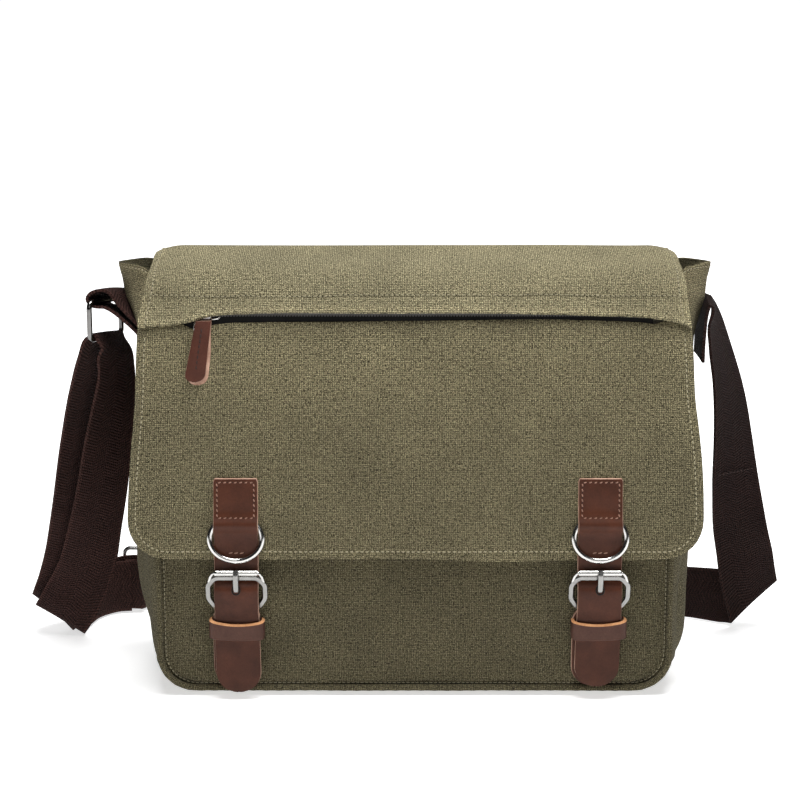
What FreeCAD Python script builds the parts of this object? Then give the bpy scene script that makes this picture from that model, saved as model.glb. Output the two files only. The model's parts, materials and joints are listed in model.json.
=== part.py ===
"""A soft canvas messenger bag with a fold-over flap, two buckled closures and a shoulder strap.

Millimetres. +X is the bag's right seen from the front, +Y its back, +Z up. The origin is the centre
of the flat base that it stands on. Soft pieces are plain layers of the right size and place, each
clear of its neighbours by a sewing gap. "Offset" is the distance that a layer stands out in front of
the front panel's outer face.
"""
import FreeCAD
import Part
import math
import os
import Sketcher
from FreeCAD import Placement, Rotation, Vector

DIMENSIONS = {
    # Front panel's outer face, from the base up: distance behind the origin, and height.
    "foot_y": -59, "foot_z": 8,
    "low_y": -60, "low_z": 60,
    "edge_y": -59, "edge_z": 100,
    "mid_y": -57, "mid_z": 141,
    "high_y": -34, "high_z": 258,
    "brow_y": -22, "brow_z": 284,
    # Back panel's outer face, from the base up.
    "rear_foot_y": 50, "rear_low_y": 54, "rear_low_z": 60,
    "rear_mid_y": 52, "rear_mid_z": 150,
    "rear_high_y": 40, "rear_high_z": 258,
    "rear_top_y": 33, "rear_top_z": 296,
    # Cloth, leather and webbing.
    "canvas": 1.6, "lining": 0.8, "leather": 2.2, "webbing": 2.0, "webbing_width": 40,
    # Front and back panels, with the piping that runs round them.
    "panel_half": 166.8, "panel_corner": 20, "piping_radius": 1.9, "piping_half": 169.5,
    "base_half": 140, "base_front": -54, "base_back": 48,
    # Flap: the fold at the top of the front, the seam at the top of the back, and the outline.
    "fold_y": -25, "fold_z": 290.5, "seam_y": 35, "seam_z": 299.5,
    "flap_top_half": 182, "flap_zip_half": 188, "flap_low_half": 197.5,
    "flap_edge_z": 100, "flap_corner": 25, "hinge_gap": 1.6,
    # Zip across the flap, under the folded lower edge of the flap's upper band.
    "band_edge_z": 264, "zip_half": 158, "teeth_z": 265.4, "zip_park_x": -146,
    "pull_hinge_z": 259.6, "pull_hinge_offset": 6.4, "pull_half": 6.5, "pull_bottom_z": 216,
    # Closures.
    "closure_x": 122.5, "strap_half": 15, "tab_top_z": 156, "tab_foot_z": 97.2,
    "closure_hinge_z": 96, "closure_hinge_offset": 6.7, "tail_z": 6,
    "heel_z": 66, "heel_offset": 4.2, "bar_z": 92, "bar_offset": 10.9,
    "buckle_half": 20.1, "buckle_wire": 1.4, "roller_radius": 1.9, "roller_half": 17.5,
    "chape_top_z": 61, "keeper_low_z": 43, "keeper_high_z": 59, "keeper_half": 19,
    "snap_z": 26, "snap_radius": 9,
    # D-rings on the closures.
    "dring_bar_z": 125, "dring_bar_offset": 6.1, "dring_foot_offset": 10.4,
    "dring_half": 17.3, "dring_wire": 1.7, "dring_leg": 8,
    # Strap ring, its tab, and the strap adjuster.
    "ring_x": -216, "ring_top_z": 268.5, "ring_foot_z": 242, "ring_half": 23.25,
    "ring_wire": 1.75, "ring_yaw": 20,
    "slider_x": -212, "slider_y": 126, "slider_half": 13, "slider_low_z": 1.8,
    "slider_high_z": 46.6, "slider_wire": 1.5,
}

FRONT_LINE = [("foot_y", "foot_z"), ("low_y", "low_z"), ("edge_y", "edge_z"),
              ("mid_y", "mid_z"), ("high_y", "high_z"), ("brow_y", "brow_z")]
BACK_LINE = [("rear_foot_y", "foot_z"), ("rear_low_y", "rear_low_z"), ("rear_mid_y", "rear_mid_z"),
             ("rear_high_y", "rear_high_z"), ("rear_top_y", "rear_top_z")]

# Gusset from the base up: height, half-width at the piping, half-width at the bulge, wall.
GUSSET_LEVELS = [(2.4, 149, 153, 5.0), (5.5, 159.5, 167, 4.0), (10, 166, 177, 2.8),
                 (18, 171, 183, 2.0), (32, 172.6, 188, 1.6), (60, 172.3, 192, 1.6),
                 (100, 172, 195, 1.6), (141, 172, 196, 1.6), (200, 172, 196.5, 1.6),
                 (258, 172, 197, 1.6), (296, 172, 205.5, 1.6)]
GUSSET_FLANK = 22

# Lining from its floor up: height and half-width.
LINING_LEVELS = [(5, 145), (18, 170), (60, 180), (100, 184), (141, 185), (200, 186),
                 (258, 186), (276, 188)]
LINING_INSET = 4.0

doc = FreeCAD.newDocument("messenger_bag")
sheet = doc.addObject("Spreadsheet::Sheet", "dims")
for row, (alias, value) in enumerate(DIMENSIONS.items(), start=1):
    sheet.set(f"A{row}", alias)
    sheet.set(f"B{row}", str(value))
    sheet.setAlias(f"B{row}", alias)
doc.recompute()

SIDE_VIEW = Rotation(Vector(0, 1, 0), Vector(0, 0, 1), Vector(1, 0, 0), "XYZ")
FRONT_VIEW = Rotation(Vector(1, 0, 0), 90)
ALONG_X = Rotation(Vector(0, 1, 0), 90)
ALONG_Y = Rotation(Vector(1, 0, 0), 90)
UPRIGHT = Rotation()

nodes = []


# Helpers: expressions, sketches and solids bound to the sheet.

def dim(name):
    """A driving dimension, as an expression."""
    return f"dims.{name}"


def number(expression):
    """What an expression comes to, in millimetres."""
    return float(sheet.evalExpression(str(expression)))


def along(line, height):
    """Expression for Y at a height on one of the two outer faces."""
    for (y_low, z_low), (y_high, z_high) in zip(line, line[1:]):
        if number(height) <= number(dim(z_high)):
            break
    rise = f"({height} - {dim(z_low)}) / ({dim(z_high)} - {dim(z_low)})"
    return f"({dim(y_low)} + {rise} * ({dim(y_high)} - {dim(y_low)}))"


def front_y(height, offset=0):
    """Expression for Y at a height, an offset in front of the front panel's outer face."""
    return f"({along(FRONT_LINE, height)} - ({offset}))"


def back_y(height, offset=0):
    """Expression for Y at a height, an offset behind the back panel's outer face."""
    return f"({along(BACK_LINE, height)} + ({offset}))"


def layer(heights, inner, outer, face=front_y):
    """Side outline of a layer that follows a face between two offsets."""
    out = [(face(height, outer), height) for height in heights]
    back = [(face(height, inner), height) for height in reversed(heights)]
    return out + back


def closure_slab(stations, inner, outer):
    """Side outline of a closure's layer: (height, extra offset) stations between two offsets."""
    out = [(f"({dim('low_y')} - ({outer}) - ({extra}))", height) for height, extra in stations]
    back = [(f"({dim('low_y')} - ({inner}) - ({extra}))", height) for height, extra in stations[::-1]]
    return out + back


def polygon(name, points, view, base=(0, 0, 0)):
    """A closed sketch whose every corner is held by two expressions from its origin."""
    sketch = doc.addObject("Sketcher::SketchObject", name)
    sketch.Placement = Placement(Vector(0, 0, 0), view)
    corners = [Vector(number(u), number(v), 0) for u, v in points]
    following = corners[1:] + corners[:1]
    sketch.addGeometry([Part.LineSegment(a, b) for a, b in zip(corners, following)])
    count = len(points)
    for i in range(count):
        sketch.addConstraint(Sketcher.Constraint("Coincident", i, 2, (i + 1) % count, 1))
    for i, pair in enumerate(points):
        for kind, expression in zip(("DistanceX", "DistanceY"), pair):
            held = sketch.addConstraint(Sketcher.Constraint(kind, -1, 1, i, 1, number(expression)))
            sketch.setExpression(f"Constraints[{held}]", str(expression))
    place(sketch, base)
    return sketch


def place(item, base):
    """Bind an object's position to three expressions."""
    for axis, expression in zip("xyz", base):
        item.setExpression(f"Placement.Base.{axis}", str(expression))


def extrusion(name, sketch, direction, length):
    """A solid that runs half the length to each side of its sketch."""
    solid = doc.addObject("Part::Extrusion", name)
    solid.Base = sketch
    solid.DirMode = "Custom"
    solid.Dir = direction
    solid.Symmetric = True
    solid.Solid = True
    solid.setExpression("LengthFwd", str(length))
    doc.recompute()
    return solid


def side_solid(name, points, width, x=0):
    """A side outline run along X to a width, centred at x."""
    sketch = polygon(f"{name}_side", points, SIDE_VIEW, (x, 0, 0))
    return extrusion(f"{name}_run", sketch, Vector(1, 0, 0), width)


def boolean(kind, name, first, second):
    """Part::Cut or Part::Common of two solids."""
    solid = doc.addObject(f"Part::{kind}", name)
    solid.Base = first
    solid.Tool = second
    doc.recompute()
    return solid


def fuse(name, solids):
    """One solid of several that overlap."""
    solid = doc.addObject("Part::MultiFuse", name)
    solid.Shapes = solids
    doc.recompute()
    return solid


def fillet(name, base, radius, chosen):
    """Round the edges that a test picks by their middle."""
    solid = doc.addObject("Part::Fillet", name)
    solid.Base = base
    edges = [i for i, edge in enumerate(base.Shape.Edges, start=1) if chosen(edge)]
    solid.Edges = [(i, number(radius), number(radius)) for i in edges]
    doc.recompute()
    return solid


def box(name, size, base):
    """A box by three lengths, from its low corner."""
    solid = doc.addObject("Part::Box", name)
    for side, expression in zip(("Length", "Width", "Height"), size):
        solid.setExpression(side, str(expression))
    place(solid, base)
    doc.recompute()
    return solid


def rod(name, radius, length, centre, turn=ALONG_X):
    """A cylinder about its centre, along X, along -Y or upright."""
    solid = doc.addObject("Part::Cylinder", name)
    solid.setExpression("Radius", str(radius))
    solid.setExpression("Height", str(length))
    solid.Placement = Placement(Vector(0, 0, 0), turn)
    back = turn.multVec(Vector(0, 0, -0.5))
    start = [f"({c}) + ({length}) * ({step})" for c, step in zip(centre, back)]
    place(solid, start)
    doc.recompute()
    return solid


def keep(label, item):
    """Name a finished sub-part; its label is its file's name."""
    item.Label = label
    nodes.append(item)
    return item


def feature(label, shape):
    """A finished sub-part whose shape comes from Part's own functions."""
    item = doc.addObject("Part::Feature", label)
    item.Shape = shape
    item.Placement = Placement()
    return keep(label, item)


def low_corner(shape, half, centre=0):
    """Test for the two edges that run through a piece's thickness at its lower corners."""
    bottom = shape.BoundBox.ZMin
    half, centre = number(half), number(centre)

    def chosen(edge):
        ends = [vertex.Point for vertex in edge.Vertexes]
        across = abs(ends[0].x - ends[-1].x) < 0.01
        at_side = abs(abs(ends[0].x - centre) - half) < 0.01
        return across and at_side and all(abs(p.z - bottom) < 0.01 for p in ends)

    return chosen


# Body of the bag: two panels, gussets, base, piping, lining and what is sewn inside.

def body_panel(label, line, face):
    """The front or back canvas panel, with rounded lower corners."""
    heights = [dim(z) for _, z in line]
    inward = f"-{dim('canvas')}"
    panel = side_solid(label, layer(heights, inward, 0, face), f"2 * {dim('panel_half')}")
    corners = low_corner(panel.Shape, dim("panel_half"))
    keep(label, fillet(f"{label}_rounded", panel, dim("panel_corner"), corners))


def bag_section(z, at_piping, at_bulge, inset):
    """Plan of the bag's outline at a height, drawn in by an inset: front to back on the right."""
    front = number(front_y(z)) + inset
    back = number(back_y(z)) - inset
    flank = min(GUSSET_FLANK, (back - front) / 3)
    return [Vector(at_piping, front, z), Vector(at_bulge, front + flank, z),
            Vector(at_bulge, back - flank, z), Vector(at_piping, back, z)]


def closed(points):
    return Part.makePolygon(points + points[:1])


def gussets():
    """The two side gussets, bulged between the pipings and flared to ears at the mouth."""
    sections = []
    for z, at_piping, at_bulge, wall in GUSSET_LEVELS:
        outer = bag_section(z, at_piping, at_bulge, 0.5)
        inner = bag_section(z, at_piping, at_bulge - wall, 0.5 + number(dim("canvas")))
        sections.append(closed(outer + inner[::-1]))
    ears = number(dim("flap_top_half")) + 2.5
    mouth = Part.makeBox(ears, 200, 40, Vector(0, -100, number(dim("brow_z")) + 1))
    right = Part.makeLoft(sections, True, True).cut(mouth)
    feature("gusset_right", right)
    feature("gusset_left", right.mirror(Vector(0, 0, 0), Vector(1, 0, 0)))


def lining_sack():
    """The cloth lining: a thin sack, closed below, just inside the panels."""
    def sack(inset, drop):
        sections = []
        for z, at_bulge in LINING_LEVELS:
            right = bag_section(z, at_bulge - 14, at_bulge, inset)
            right = [Vector(p.x - inset, p.y, p.z - drop) for p in right]
            left = [Vector(-p.x, p.y, p.z) for p in right[::-1]]
            sections.append(closed(right + left))
        return Part.makeLoft(sections, True, True)

    thickness = number(dim("lining"))
    feature("lining", sack(LINING_INSET, 0).cut(sack(LINING_INSET + thickness, -thickness)))


def base_panel():
    """The flat canvas base that the bag stands on."""
    width = f"2 * {dim('base_half')}"
    depth = f"{dim('base_back')} - {dim('base_front')}"
    corner = (f"-{dim('base_half')}", dim("base_front"), 0)
    keep("base_panel", box("base_slab", (width, depth, dim("canvas")), corner))


def piping(label, face, top):
    """Covered cord round a panel's sides and foot, with round lower corners."""
    half = number(dim("piping_half"))
    radius = number(dim("panel_corner")) + half - number(dim("panel_half"))
    foot = number(dim("foot_z")) - (half - number(dim("panel_half")))
    heights = [top, 258, 200, 141, 100, 60]
    side = [(half, z) for z in heights]
    centre = (half - radius, foot + radius)
    for step in range(0, 7):
        angle = math.radians(-90 * step / 6)
        side.append((centre[0] + radius * math.cos(angle), centre[1] + radius * math.sin(angle)))
    outline = side + [(-x, z) for x, z in side[::-1]]
    inward = 0.1 - number(dim("piping_radius"))
    points = [Vector(x, number(face(z, inward)), z) for x, z in outline]
    spine = Part.makePolygon(points)
    ring = Part.Wire(Part.makeCircle(number(dim("piping_radius")), points[0], points[1] - points[0]))
    pipe = Part.BRepOffsetAPI.MakePipeShell(spine)
    pipe.setTransitionMode(1)
    pipe.add(ring)
    pipe.build()
    pipe.makeSolid()
    feature(label, pipe.shape())


def inner_fittings():
    """Padded laptop divider and slip pocket, sewn to the lining."""
    divider = layer(["30", dim("rear_low_z"), dim("rear_mid_z"), "228"], -24, -18, back_y)
    keep("laptop_divider", side_solid("laptop_divider", divider, "320"))
    pocket = layer(["70", dim("edge_z"), dim("mid_z"), "200"], -6.4, -5.4)
    keep("slip_pocket", side_solid("slip_pocket", pocket, "240"))


def mouth_binding():
    """Folded canvas tape over the front panel's top edge."""
    top = f"({dim('brow_z')} + 0.3)"
    tape = [(front_y(dim("brow_z"), 0.3), top),
            (front_y(dim("brow_z"), 0.3), f"({top} + 1.2)"),
            (front_y(dim("brow_z"), -4.4), f"({top} + 1.2)"),
            (front_y(dim("brow_z"), -4.4), f"({top} - 9)"),
            (front_y(dim("brow_z"), -3.2), f"({top} - 9)"),
            (front_y(dim("brow_z"), -3.2), top)]
    keep("mouth_binding", side_solid("mouth_binding", tape, f"2 * {dim('panel_half')}"))


def snap_sockets():
    """Magnetic snap sockets on the front panel, and the washers that back them inside."""
    washers = []
    for side, sign in (("left", -1), ("right", 1)):
        x = f"{sign} * {dim('closure_x')}"
        disc = rod(f"socket_disc_{side}", dim("snap_radius"), 2.6,
                   (x, f"{dim('low_y')} - 1.1", dim("snap_z")), ALONG_Y)
        mouth = rod(f"socket_mouth_{side}", 4, 1.8,
                    (x, f"{dim('low_y')} - 1.5", dim("snap_z")), ALONG_Y)
        keep(f"snap_socket_{side}", boolean("Cut", f"socket_{side}", disc, mouth))
        washers.append(rod(f"washer_{side}", 8, 0.5,
                           (x, f"{dim('low_y')} + 2.7", dim("snap_z")), ALONG_Y))
    keep("socket_washers", boolean("Fuse", "washer_pair", *washers))


# Flap: upper band over the top and down to the zip, main panel below it, lining behind.

def flap_outline(name):
    """The flap's front view: widening downwards, run through the whole depth of the bag."""
    half = [("flap_top_half", "fold_z"), ("flap_zip_half", "high_z"),
            ("flap_low_half", "mid_z"), ("flap_low_half", "flap_edge_z")]
    right = [(dim(x), dim(z)) for x, z in half]
    left = [(f"-{x}", z) for x, z in right[::-1]]
    sketch = polygon(f"{name}_outline", right + left, FRONT_VIEW)
    return extrusion(f"{name}_block", sketch, Vector(0, 1, 0), 300)


def flap_front_piece(label, heights, inner, outer, corner=None):
    """A layer of the flap's front, cut to the flap's outline, with its lower corners rounded."""
    run = side_solid(label, layer(heights, inner, outer), "420")
    piece = boolean("Common", f"{label}_cut", run, flap_outline(label))
    if corner:
        corners = low_corner(piece.Shape, dim("flap_low_half"))
        piece = fillet(f"{label}_rounded", piece, corner, corners)
    keep(label, piece)


def flap_top_piece(label, low, high):
    """A layer of the flap over the bag's mouth, between two distances below the outer face."""
    gap = dim("hinge_gap")
    fold, seam = f"({dim('fold_y')} + {gap})", f"({dim('seam_y')} - {gap})"
    outline = [(fold, f"({dim('fold_z')} - {low})"), (seam, f"({dim('seam_z')} - {low})"),
               (seam, f"({dim('seam_z')} - {high})"), (fold, f"({dim('fold_z')} - {high})")]
    keep(label, side_solid(label, outline, f"2 * {dim('flap_top_half')}"))


def flap():
    """The cloth of the flap. The fold's gap and the seam's gap are where it bends."""
    flap_top_piece("flap_band_top", -0.8, 0.8)
    flap_top_piece("flap_lining_top", 1.1, 1.7)
    below_fold = f"({dim('fold_z')} - 3)"
    flap_front_piece("flap_band_front", [dim("band_edge_z"), "272", below_fold], 6.8, 8.4)
    rows = [dim("flap_edge_z"), dim("mid_z")]
    panel_top = f"({dim('teeth_z')} - 6.6)"
    flap_front_piece("flap_panel", rows + [dim("high_z"), panel_top], 2.6, 4.2,
                     dim("flap_corner"))
    lining = rows + [dim("high_z"), "283"]
    flap_front_piece("flap_lining_front", lining, 0.5, 1.1, f"{dim('flap_corner')} * 0.4")


# Zip: tapes, two rows of teeth with a slot for the slider's neck, end stops, slider and pull.

def zip_line():
    width = f"2 * {dim('zip_half')}"
    teeth = dim("teeth_z")
    tapes = []
    rows = []
    for name, near, far in (("lower", -1, -1), ("upper", 1, 1)):
        edge = f"({teeth} + {near} * 2.4)"
        rim = f"({teeth} + {far} * 9)"
        low, high = (rim, edge) if near < 0 else (edge, rim)
        tapes.append(side_solid(f"tape_{name}", layer([low, high], 2.5, 2.5 - 0.5), width))
        inner_edge, outer_edge = f"({teeth} + {near} * 0.5)", f"({teeth} + {near} * 2.2)"
        low, high = (outer_edge, inner_edge) if near < 0 else (inner_edge, outer_edge)
        rows.append(side_solid(f"teeth_{name}", layer([low, high], 2.4, 4.0), width))
    keep("zip_tapes", boolean("Fuse", "tape_pair", *tapes))
    keep("zip_teeth", boolean("Fuse", "teeth_rows", *rows))
    stops = []
    for sign in (-1, 1):
        outline = layer([f"({teeth} - 2.2)", f"({teeth} + 2.2)"], 2.2, 4.2)
        x = f"{sign} * ({dim('zip_half')} + 1.6)"
        stops.append(side_solid(f"stop_{'left' if sign < 0 else 'right'}", outline, "2.4", x))
    keep("zip_stops", boolean("Fuse", "stop_pair", *stops))


def zip_slider():
    """Slider: front and back plates joined by a neck between the teeth, with a bail for the pull."""
    teeth, x = dim("teeth_z"), dim("zip_park_x")
    tall = [f"({teeth} - 4)", f"({teeth} + 4)"]
    front = side_solid("slider_front", layer(tall, 4.4, 5.4), "9", x)
    back = side_solid("slider_back", layer(tall, 1.2, 1.9), "9", x)
    neck_z = [f"({teeth} - 0.3)", f"({teeth} + 0.3)"]
    neck = side_solid("slider_neck", layer(neck_z, 1.5, 5.0), "2", x)
    hinge = dim("pull_hinge_z")
    bail_z = [f"({hinge} - 1.4)", f"({hinge} + 1.4)", f"({teeth} - 3.4)"]
    bail = side_solid("slider_bail", layer(bail_z, 4.6, 7.6), "2.4", x)
    body = fuse("slider_fused", [front, back, neck, bail])
    eye_y = front_y(hinge, dim("pull_hinge_offset"))
    eye = rod("slider_eye", 0.85, 6, (x, eye_y, hinge))
    keep("zip_slider", boolean("Cut", "slider_bored", body, eye))


def zip_pull():
    """Wire link through the bail, and the two leather layers of the tab that hangs from it."""
    hinge, x = dim("pull_hinge_z"), dim("zip_park_x")
    y = front_y(hinge, dim("pull_hinge_offset"))
    drop = f"({hinge} - 6)"
    lean = f"({front_y(drop, dim('pull_hinge_offset'))})"
    wire = 0.6
    top = rod("link_top", wire, 9, (x, y, hinge))
    foot = rod("link_foot", wire, 9, (x, lean, drop))
    legs = []
    for sign in (-1, 1):
        start = Vector(number(x) + sign * 4.2, number(y), number(hinge))
        end = Vector(start.x, number(lean), number(drop))
        leg = doc.addObject("Part::Feature", f"link_leg_{'left' if sign < 0 else 'right'}")
        leg.Shape = Part.makeCylinder(wire, (end - start).Length, start, end - start)
        legs.append(leg)
    keep("zip_pull_link", fuse("link_fused", [top, foot] + legs))
    for label, near, far in (("pull_leather_back", 4.6, 6.1), ("pull_leather_front", 6.4, 7.9)):
        heights = [dim("pull_bottom_z"), f"({drop} - 1)"]
        tab = side_solid(label, layer(heights, near, far), f"2 * {dim('pull_half')}", x)
        corners = low_corner(tab.Shape, dim("pull_half"), x)
        keep(label, fillet(f"{label}_rounded", tab, f"{dim('pull_half')} - 0.5", corners))


# Closures: each is leather from the flap, through a roller buckle, over a magnetic snap.

def buckle_tilt():
    """How far the buckle leans out from its heel bar to its roller, in degrees."""
    lean = number(f"{dim('bar_offset')} - {dim('heel_offset')}")
    return math.degrees(math.atan2(lean, number(f"{dim('bar_z')} - {dim('heel_z')}")))


def wire_loop(name, half, low, high, wire, origin, turn):
    """A rectangular wire frame. Its plane's x and y axes are turned from X and Y by turn."""
    wide, tall = f"2 * ({half})", f"({high}) - ({low})"
    left, right, foot, top = -number(half), number(half), number(low), number(high)
    runs = [(left, foot, 1, 0, wide), (right, foot, 0, 1, tall),
            (right, top, -1, 0, wide), (left, top, 0, -1, tall)]
    pieces = []
    for i, (x, y, step_x, step_y, length) in enumerate(runs):
        start = origin + turn.multVec(Vector(x, y, 0))
        ahead = turn.multVec(Vector(step_x, step_y, 0))
        side = doc.addObject("Part::Cylinder", f"{name}_run_{i}")
        side.setExpression("Radius", wire)
        side.setExpression("Height", length)
        side.Placement = Placement(start, Rotation(Vector(0, 0, 1), ahead))
        corner = doc.addObject("Part::Sphere", f"{name}_corner_{i}")
        corner.setExpression("Radius", wire)
        corner.Placement = Placement(start, UPRIGHT)
        pieces += [side, corner]
    return fuse(f"{name}_loop", pieces)


def d_ring(side, x):
    """D-ring: a straight bar under the leather, short legs and a half-round arc over it."""
    wire, half = dim("dring_wire"), dim("dring_half")
    bar_y = number(front_y(dim("dring_bar_z"), dim("dring_bar_offset")))
    bar_z = number(dim("dring_bar_z"))
    leg, radius = number(dim("dring_leg")), number(half)
    foot_z = bar_z - leg - radius
    foot_y = number(front_y(foot_z, dim("dring_foot_offset")))
    lean = math.degrees(math.atan2(bar_y - foot_y, bar_z - foot_z))
    arc = doc.addObject("Part::Torus", f"dring_arc_{side}")
    arc.setExpression("Radius1", half)
    arc.setExpression("Radius2", wire)
    arc.setExpression("Angle3", "180")
    turn = Rotation(Vector(1, 0, 0), -90 - lean)
    down = turn.multVec(Vector(0, 1, 0))
    centre = Vector(number(x), bar_y, bar_z)
    arc.Placement = Placement(centre + down * leg, turn)
    pieces = [arc, rod(f"dring_bar_{side}", wire, f"2 * {half}", (x, bar_y, bar_z))]
    for sign in (-1, 1):
        corner = centre + Vector(sign * radius, 0, 0)
        straight = doc.addObject("Part::Cylinder", f"dring_leg_{side}_{'ab'[sign > 0]}")
        straight.setExpression("Radius", wire)
        straight.setExpression("Height", dim("dring_leg"))
        straight.Placement = Placement(corner, Rotation(Vector(0, 0, 1), down))
        ball = doc.addObject("Part::Sphere", f"dring_corner_{side}_{'ab'[sign > 0]}")
        ball.setExpression("Radius", wire)
        ball.Placement = Placement(corner, UPRIGHT)
        pieces += [straight, ball]
    keep(f"d_ring_{side}", fuse(f"dring_fused_{side}", pieces))


def closure_tab(side, x):
    """Leather stitched to the flap, humped over the D-ring's bar, ending below the flap's edge."""
    bar = dim("dring_bar_z")
    stations = [(dim("tab_foot_z"), 0), (f"({bar} - 8)", 0), (f"({bar} - 3.5)", 3.8),
                (f"({bar} + 3.5)", 3.8), (f"({bar} + 8)", 0), (dim("mid_z"), 0),
                (dim("tab_top_z"), 0)]
    outer = [(front_y(z, f"4.4 + {dim('leather')} + {hump}"), z) for z, hump in stations]
    inner = [(front_y(z, f"4.4 + {hump}"), z) for z, hump in stations[::-1]]
    keep(f"closure_tab_{side}",
         side_solid(f"closure_tab_{side}", outer + inner, f"2 * {dim('strap_half')}", x))


def closure_strap(side, x):
    """The buckled leather below the flap, with a slot for the prong and a rounded tail."""
    stations = [(dim("tail_z"), 0), ("88", 0), ("94.8", -1.8)]
    strap = side_solid(f"closure_strap_{side}", closure_slab(stations, 7.4, 9.6),
                       f"2 * {dim('strap_half')}", x)
    slot = box(f"prong_slot_{side}", (4.6, 20, 18.2),
               (f"{x} - 2.3", f"{dim('low_y')} - 20", 65.3))
    slotted = boolean("Cut", f"strap_slotted_{side}", strap, slot)
    corners = low_corner(slotted.Shape, dim("strap_half"), x)
    keep(f"closure_strap_{side}", fillet(f"tail_{side}", slotted, "10", corners))


def chape(side, x):
    """Leather behind the strap, looped round the buckle's heel bar and slotted for the prong."""
    width = f"2 * {dim('strap_half')}"
    heel = (x, f"{dim('low_y')} - {dim('heel_offset')}", dim("heel_z"))
    slab = side_solid(f"chape_slab_{side}", closure_slab([("8", 0), ("64.1", 0)], 4.1, 6.3), width, x)
    loop = rod(f"chape_loop_{side}", 2.8, width, heel)
    body = fuse(f"chape_body_{side}", [slab, loop])
    bored = boolean("Cut", f"chape_bored_{side}", body, rod(f"chape_bore_{side}", 1.6, 40, heel))
    slot = box(f"chape_slot_{side}", (4.6, 12, 9), (f"{x} - 2.3", f"{dim('low_y')} - 12", 62.5))
    keep(f"chape_{side}", boolean("Cut", f"chape_slotted_{side}", bored, slot))


def buckle(side, x):
    """Buckle frame, the roller round its top bar, and the prong hung on its heel bar."""
    heel = Vector(number(x), number(f"{dim('low_y')} - {dim('heel_offset')}"), number(dim("heel_z")))
    turn = Rotation(Vector(1, 0, 0), 90 + buckle_tilt())
    rise = f"({dim('bar_z')} - {dim('heel_z')}) / cos({buckle_tilt():.4f} deg)"
    frame = wire_loop(f"buckle_{side}", dim("buckle_half"), "0", rise, dim("buckle_wire"), heel, turn)
    keep(f"buckle_frame_{side}", frame)

    bar = (x, f"{dim('low_y')} - {dim('bar_offset')}", dim("bar_z"))
    length = f"2 * {dim('roller_half')}"
    tube = rod(f"roller_tube_{side}", dim("roller_radius"), length, bar)
    bore = rod(f"roller_bore_{side}", f"{dim('buckle_wire')} + 0.15", 50, bar)
    keep(f"buckle_roller_{side}", boolean("Cut", f"roller_{side}", tube, bore))

    eye = (x, f"{dim('low_y')} - {dim('heel_offset')}", dim("heel_z"))
    blade = [(f"({dim('low_y')} - 4.6)", "67.6"), (f"({dim('low_y')} - 6.8)", "67.6"),
             (f"({dim('low_y')} - 14.9)", "90.5"), (f"({dim('low_y')} - 14.9)", "94"),
             (f"({dim('low_y')} - 13.3)", "94"), (f"({dim('low_y')} - 13.3)", "91")]
    arm = side_solid(f"prong_arm_{side}", blade, "3.4", x)
    ring = rod(f"prong_ring_{side}", 2.7, 3.4, eye)
    joined = fuse(f"prong_joined_{side}", [arm, ring])
    bored = boolean("Cut", f"prong_{side}", joined, rod(f"prong_bore_{side}", 1.6, 8, eye))
    keep(f"buckle_prong_{side}", bored)


def keeper(side, x):
    """Leather keeper: a band round strap and chape."""
    low, high = dim("keeper_low_z"), dim("keeper_high_z")
    tall = f"({high} - {low})"
    outer = box(f"keeper_outer_{side}", (f"2 * {dim('keeper_half')}", 9.8, tall),
                (f"{x} - {dim('keeper_half')}", f"{dim('low_y')} - 11.8", low))
    inner = box(f"keeper_inner_{side}", (f"2 * ({dim('keeper_half')} - 2)", 6.2, 40),
                (f"{x} - {dim('keeper_half')} + 2", f"{dim('low_y')} - 10", f"{low} - 10"))
    keep(f"keeper_{side}", boolean("Cut", f"keeper_band_{side}", outer, inner))


def snap_stud(side, x):
    """Magnetic snap stud behind the chape: a plate with a pin that enters the socket."""
    plate = rod(f"stud_plate_{side}", 8, 1.1, (x, f"{dim('low_y')} - 3.4", dim("snap_z")), ALONG_Y)
    pin = rod(f"stud_pin_{side}", 2.5, 2.2, (x, f"{dim('low_y')} - 2.1", dim("snap_z")), ALONG_Y)
    keep(f"snap_stud_{side}", fuse(f"stud_{side}", [plate, pin]))


def closures():
    for side, sign in (("left", -1), ("right", 1)):
        x = f"({sign} * {dim('closure_x')})"
        for piece in (closure_tab, d_ring, closure_strap, chape, buckle, keeper, snap_stud):
            piece(side, x)


# Shoulder strap: ring and tab on the left gusset, webbing, and a three-bar adjuster.

def ring_turn():
    """The strap ring stands upright with its long side turned from Y by the ring's yaw."""
    return Rotation(Vector(0, 0, 1), 90 - number(dim("ring_yaw"))).multiply(FRONT_VIEW)


def ring_piece(label, outline):
    """An outline across the ring's bars, run along them to the webbing's width."""
    yaw = Rotation(Vector(0, 0, 1), -number(dim("ring_yaw")))
    sketch = polygon(f"{label}_across", outline, yaw.multiply(FRONT_VIEW), (dim("ring_x"), 0, 0))
    return extrusion(f"{label}_run", sketch, yaw.multVec(Vector(0, 1, 0)), dim("webbing_width"))


def ring_rod(name, radius, length, height):
    """A cylinder along one of the ring's bars."""
    yaw = Rotation(Vector(0, 0, 1), -number(dim("ring_yaw")))
    turn = yaw.multiply(ALONG_Y)
    return rod(name, radius, length, (dim("ring_x"), 0, height), turn)


def strap_ring():
    base = Vector(number(dim("ring_x")), 0, 0)
    ring = wire_loop("strap_ring", dim("ring_half"), dim("ring_foot_z"), dim("ring_top_z"),
                     dim("ring_wire"), base, ring_turn())
    keep("strap_ring", ring)


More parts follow.
